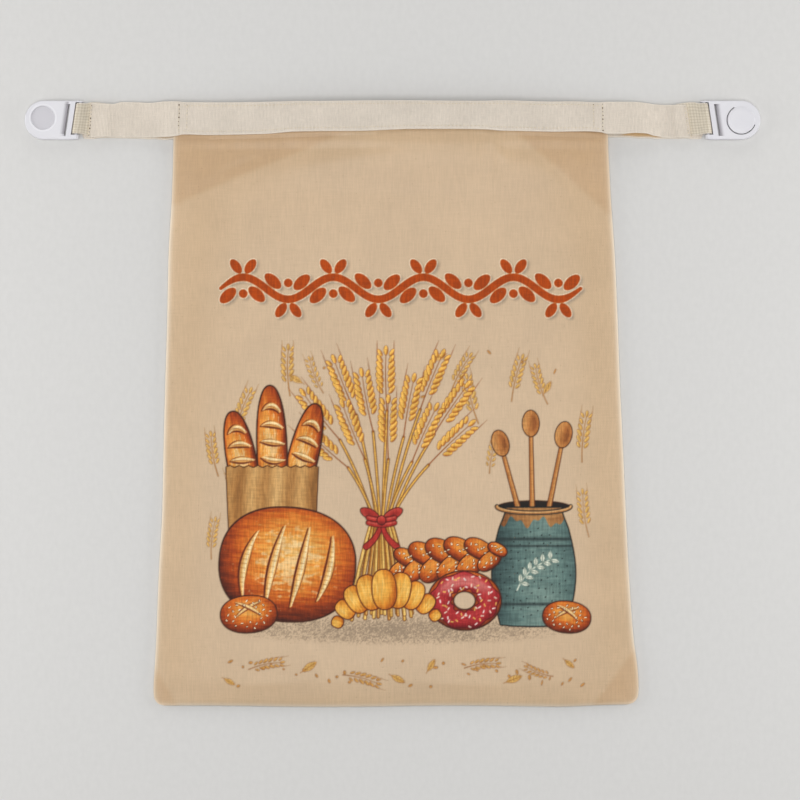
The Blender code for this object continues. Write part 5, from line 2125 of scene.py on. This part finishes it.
@dataclass(frozen=True)
class Print:
    """The printed parts of the front cloth: an ornament row and a picture of bread and wheat.

    Each is a fine film of cloth colour and ink that follows the front cloth just above it.

    Attributes:
        shape: How the bag lies.
        lift: The film's height over the front cloth's middle.
        step: Grid step in millimetres.
    """

    shape: BagShape
    lift: float = (0.4 + 0.12) * MM
    step: float = 0.6
    row_box: tuple[Pair, Pair] = ((-134.0, 58.0), (146.0, 110.0))
    picture_box: tuple[Pair, Pair] = ((-140.0, -209.0), (154.0, 46.0))
    tiles: int = 3
    # Pale ears over the picture. Columns: x, y, turn, length, cover
    ears: Rows = (
        (-126, -52, 100, 30, 1), (-114, -22, 70, 33, 1), (-108, -74, 112, 26, 0.8), (-74, 6, 92, 34, 1),
        (-50, 8, 112, 26, 0.8), (42, 8, 62, 30, 1), (62, -14, 104, 34, 1), (70, -50, 78, 26, 0.8),
        (86, 2, 76, 32, 0.9), (112, 0, 108, 28, 0.9), (137, -42, 84, 34, 1), (142, -96, 98, 32, 0.8),
        (-131, -112, 84, 28, 0.8),
    )
    # Sprigs, leaves and ears under the picture. Columns: x, y, turn, length, cover
    low_ears: Rows = (
        (-104, -192, 12, 24, 0.8), (-36, -196, -14, 26, 0.8), (52, -191, 8, 24, 0.85),
        (116, -197, 160, 20, 0.8),
    )
    low_leaves: Rows = (
        (-60, -190, 34, 13, 0.8), (4, -199, -28, 12, 0.75), (28, -189, 58, 11, 0.7),
        (88, -199, 22, 13, 0.8), (128, -188, -40, 10, 0.7), (-118, -201, -30, 10, 0.65),
        (-70, 18, 150, 12, 0.6), (34, 34, 24, 12, 0.6), (112, 12, 60, 11, 0.6),
    )
    long_loaves: Sequence[tuple[Spot, float]] = (
        (Spot(-66.0, -44.0, 76.0), 46.0),
        (Spot(-108.0, -46.0, 101.0), 42.0),
        (Spot(-87.0, -34.0, 92.0), 48.0),
    )
    crumbs: int = 46

    def build(self, ink: Material) -> None:
        """Paints both canvases and makes their films."""
        row = Canvas(*self.row_box, self.step)
        Vine().paint(row)
        self._film("print_row", row, slice(0, row.x.shape[1]), ink)
        picture = self._picture()
        cuts = np.linspace(0, picture.x.shape[1] - 1, self.tiles + 1).astype(int)
        for k in range(self.tiles):
            self._film(f"print_picture_{k + 1}", picture, slice(cuts[k], cuts[k + 1] + 1), ink)

    def _picture(self) -> Canvas:
        """The picture from back to front."""
        canvas = Canvas(*self.picture_box, self.step)
        for x, y, turn, length, cover in self.ears:
            Ear(Spot(x, y, turn), length, 6, 0.17 * length, 1.2, cover).paint(canvas)
        for x, y, turn, length, cover in self.low_ears:
            tone = {"light": (206, 156, 84), "dark": (150, 92, 36)}
            Ear(Spot(x, y, turn), length, 6, 0.2 * length, 1.2, cover, **tone).paint(canvas)
        for x, y, turn, length, cover in self.low_leaves:
            Leaf(Spot(x, y, turn), length, 0.42 * length, cover).paint(canvas)
        self._crumbs(canvas)
        Ground().paint(canvas)
        Sheaf().paint(canvas)
        crock = Crock(Spot(102.0, -158.0))
        crock.rim(canvas, front=False)
        for foot, tip_x, tip_y in ((92.0, 80.0, -36.0), (112.0, 122.0, -30.0), (101.0, 100.0, -22.0)):
            Spoon((foot, -80.0), (tip_x, tip_y)).paint(canvas)
        crock.paint(canvas)
        crock.rim(canvas, front=True)
        PlaitedLoaf(Spot(40.0, -112.0, 6.0)).paint(canvas)
        for at, long in self.long_loaves:
            RoundLoaf(at, (long, 11.5), 6, 3.8).paint(canvas)
        Sack().paint(canvas)
        RoundLoaf(Spot(-76.0, -116.0, -4.0), (50.0, 42.0)).paint(canvas)
        RingBun(Spot(52.0, -142.0, 0.0), (27.0, 22.0)).paint(canvas)
        Crescent(Spot(-6.0, -134.0, 4.0)).paint(canvas)
        SmallRoll(Spot(-104.0, -152.0, 4.0), (21.0, 14.0)).paint(canvas)
        SmallRoll(Spot(126.0, -154.0, -6.0), (18.0, 12.0)).paint(canvas)
        return canvas

    def _crumbs(self, canvas: Canvas) -> None:
        """Seeds and crumbs strewn under the picture and a few over it, by a golden angle."""
        left, right = self.picture_box[0][0] + 14, self.picture_box[1][0] - 16
        tint = shaded(0.5, 0.0, 0.5, (170, 112, 50), (214, 164, 92))
        for k in range(self.crumbs):
            x = left + (right - left) * ((0.618034 * k + 0.11) % 1.0)
            low = k % 5 != 0
            y = -205.0 + 21.0 * ((0.754878 * k) % 1) if low else -6.0 + 46.0 * ((0.569840 * k) % 1)
            size = (0.9 + 1.3 * ((0.31 * k) % 1.0), 0.6 + 0.7 * ((0.47 * k) % 1.0))
            canvas.blob(Spot(x, y, 137.5 * k), size, tint, line=0.35, line_colour=(150, 92, 36), cover=0.8)

    def _film(self, name: str, canvas: Canvas, columns: slice, ink: Material) -> None:
        """The film over some columns of a canvas, at the front cloth's height plus the lift."""
        x, y = canvas.x[:, columns] * MM, canvas.y[:, columns] * MM
        z = self.shape.body_height(x, y) + self.lift
        points = np.stack([x, y, z], axis=-1).reshape(-1, 3)
        mesh = mesh_from(name, points, grid_quads(*x.shape), ink=canvas.ink(columns))
        report(place(mesh, ink, Body.BAG, Slot.TWILL))


@dataclass(frozen=True)
class Lamp:
    """A soft area light.

    Attributes:
        name: Its name.
        at: Where it stands, in metres.
        size: Its width and height.
        power: Its power in watts.
        target: What it points to.
    """

    name: str
    at: Triple
    size: Pair
    power: float
    target: Triple = (0.0, 0.0, 0.0)

    def build(self) -> None:
        """Adds the light."""
        data = bpy.data.lights.new(self.name, "AREA")
        data.shape = "RECTANGLE"
        data.size, data.size_y = self.size
        data.energy = self.power
        lamp = linked(self.name, data)
        lamp.location = self.at
        lamp.rotation_euler = (Vector(self.target) - Vector(self.at)).to_track_quat("-Z", "Y").to_euler()


@dataclass(frozen=True)
class Studio:
    """The pale floor, the soft lights and the camera straight above.

    Attributes:
        centre: What the middle of the picture shows.
        height: The camera's height.
        view, view_level: Width of what the picture shows at a height.
        sensor: Width of the camera's sensor in millimetres.
        world: How bright the light from all sides is.
    """

    centre: Pair = (5.4 * MM, 2.9 * MM)
    height: float = 1.6
    view: float = 0.58
    view_level: float = 6.0 * MM
    sensor: float = 36.0
    world: float = 0.12
    floor_colour: Triple = (207, 206, 204)
    lamps: Sequence[Lamp] = (
        Lamp("left_softbox", (-0.95, 0.0, 0.30), (0.9, 0.55), 5.2),
        Lamp("right_softbox", (0.95, 0.0, 0.28), (0.9, 0.5), 5.0),
        Lamp("far_softbox", (0.0, 1.2, 0.40), (1.2, 0.6), 4.6),
        Lamp("near_softbox", (-0.1, -1.2, 0.4), (1.0, 0.6), 1.2),
        Lamp("top_softbox", (-0.02, -0.22, 2.1), (1.2, 1.6), 27.0),
        Lamp("ceiling", (0.0, 0.4, 2.4), (3.0, 3.0), 5.0),
    )

    def build(self, effects: Effects) -> None:
        """Adds the floor, the world, the lamps and the camera."""
        for lamp in self.lamps:
            lamp.build()
        world = bpy.data.worlds.new("studio")
        world.use_nodes = True
        sky = world.node_tree.nodes["Background"]
        Graph(world.node_tree).fill(sky, {"Color": (1.0, 1.0, 1.0, 1.0), "Strength": self.world})
        bpy.context.scene.world = world
        bpy.context.scene.view_settings.view_transform = "Standard"
        self._floor(effects)
        self._camera()

    def _floor(self, effects: Effects) -> Object:
        """A wide flat board with a faint paper grain."""
        reach = 3.0
        corners = np.array([(-1, -1, 0), (1, -1, 0), (1, 1, 0), (-1, 1, 0)]) * reach
        mesh = mesh_from("floor", corners, np.array([(0, 1, 2, 3)]))
        material, graph, shader = new_material("floor_board")
        place_at = graph.add("TexCoord").outputs["Object"]
        grain = graph.group(effects.streaks, Vector=place_at, Fineness=300.0, Length=2.0).outputs[0]
        tone = graph.ramp(grain, 0.3, 0.7, 0.985, 1.015)
        colour = graph.mix(1.0, linear(*self.floor_colour), tone, "MULTIPLY")
        graph.fill(shader, {"Base Color": colour, "Roughness": 0.9, "Specular IOR Level": 0.0})
        mesh.materials.append(material)
        return linked("floor", mesh)

    def _camera(self) -> None:
        """A long lens that shows the given width at the bag's height."""
        data = bpy.data.cameras.new("camera")
        data.sensor_width = self.sensor
        data.lens = self.sensor * (self.height - self.view_level) / self.view
        camera = linked("camera", data)
        camera.location = (*self.centre, self.height)
        bpy.context.scene.camera = camera


def main() -> None:
    """Builds the studio, then the bag's pieces in order."""
    logging.basicConfig(level=logging.INFO, format="%(message)s")
    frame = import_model()
    effects = Effects()
    Studio().build(effects)

    shape = BagShape()
    twill = TwillFinish().material("twill", effects)
    plain = TwillFinish(colour=(194, 168, 134)).material("plain_twill", effects)
    printed = TwillFinish(printed=True).material("printed_twill", effects)
    webbing = WebbingFinish().material("webbing", effects)
    thread = ThreadFinish().material("thread", effects)
    # Painted shade of the needle holes: dark ovals laid on the webbing.
    dark = ThreadFinish(colour=(96, 78, 56), roughness=0.9).material("needle_hole_shade", effects)

    Cloth(shape).build(twill, plain)
    bands = Bands(shape, StrapLoops(shape))
    bands.build(webbing)
    Stitching(bands.front()).build(thread, dark)
    Print(shape).build(printed)
    socket = PlasticFinish((-253.7 * MM, 207.7 * MM), slot=(-236.9 * MM, -1.0), reach=8.9 * MM)
    button = PlasticFinish((253.0 * MM, 206.1 * MM), slot=(236.2 * MM, 1.0))
    BuckleHalf("socket_half", Body.SOCKET, socket, shift=(-0.7 * MM, 1.6 * MM)).build(frame, effects)
    BuckleHalf("button_half", Body.BUTTON, button).build(frame, effects)


if __name__ == "__main__":
    main()
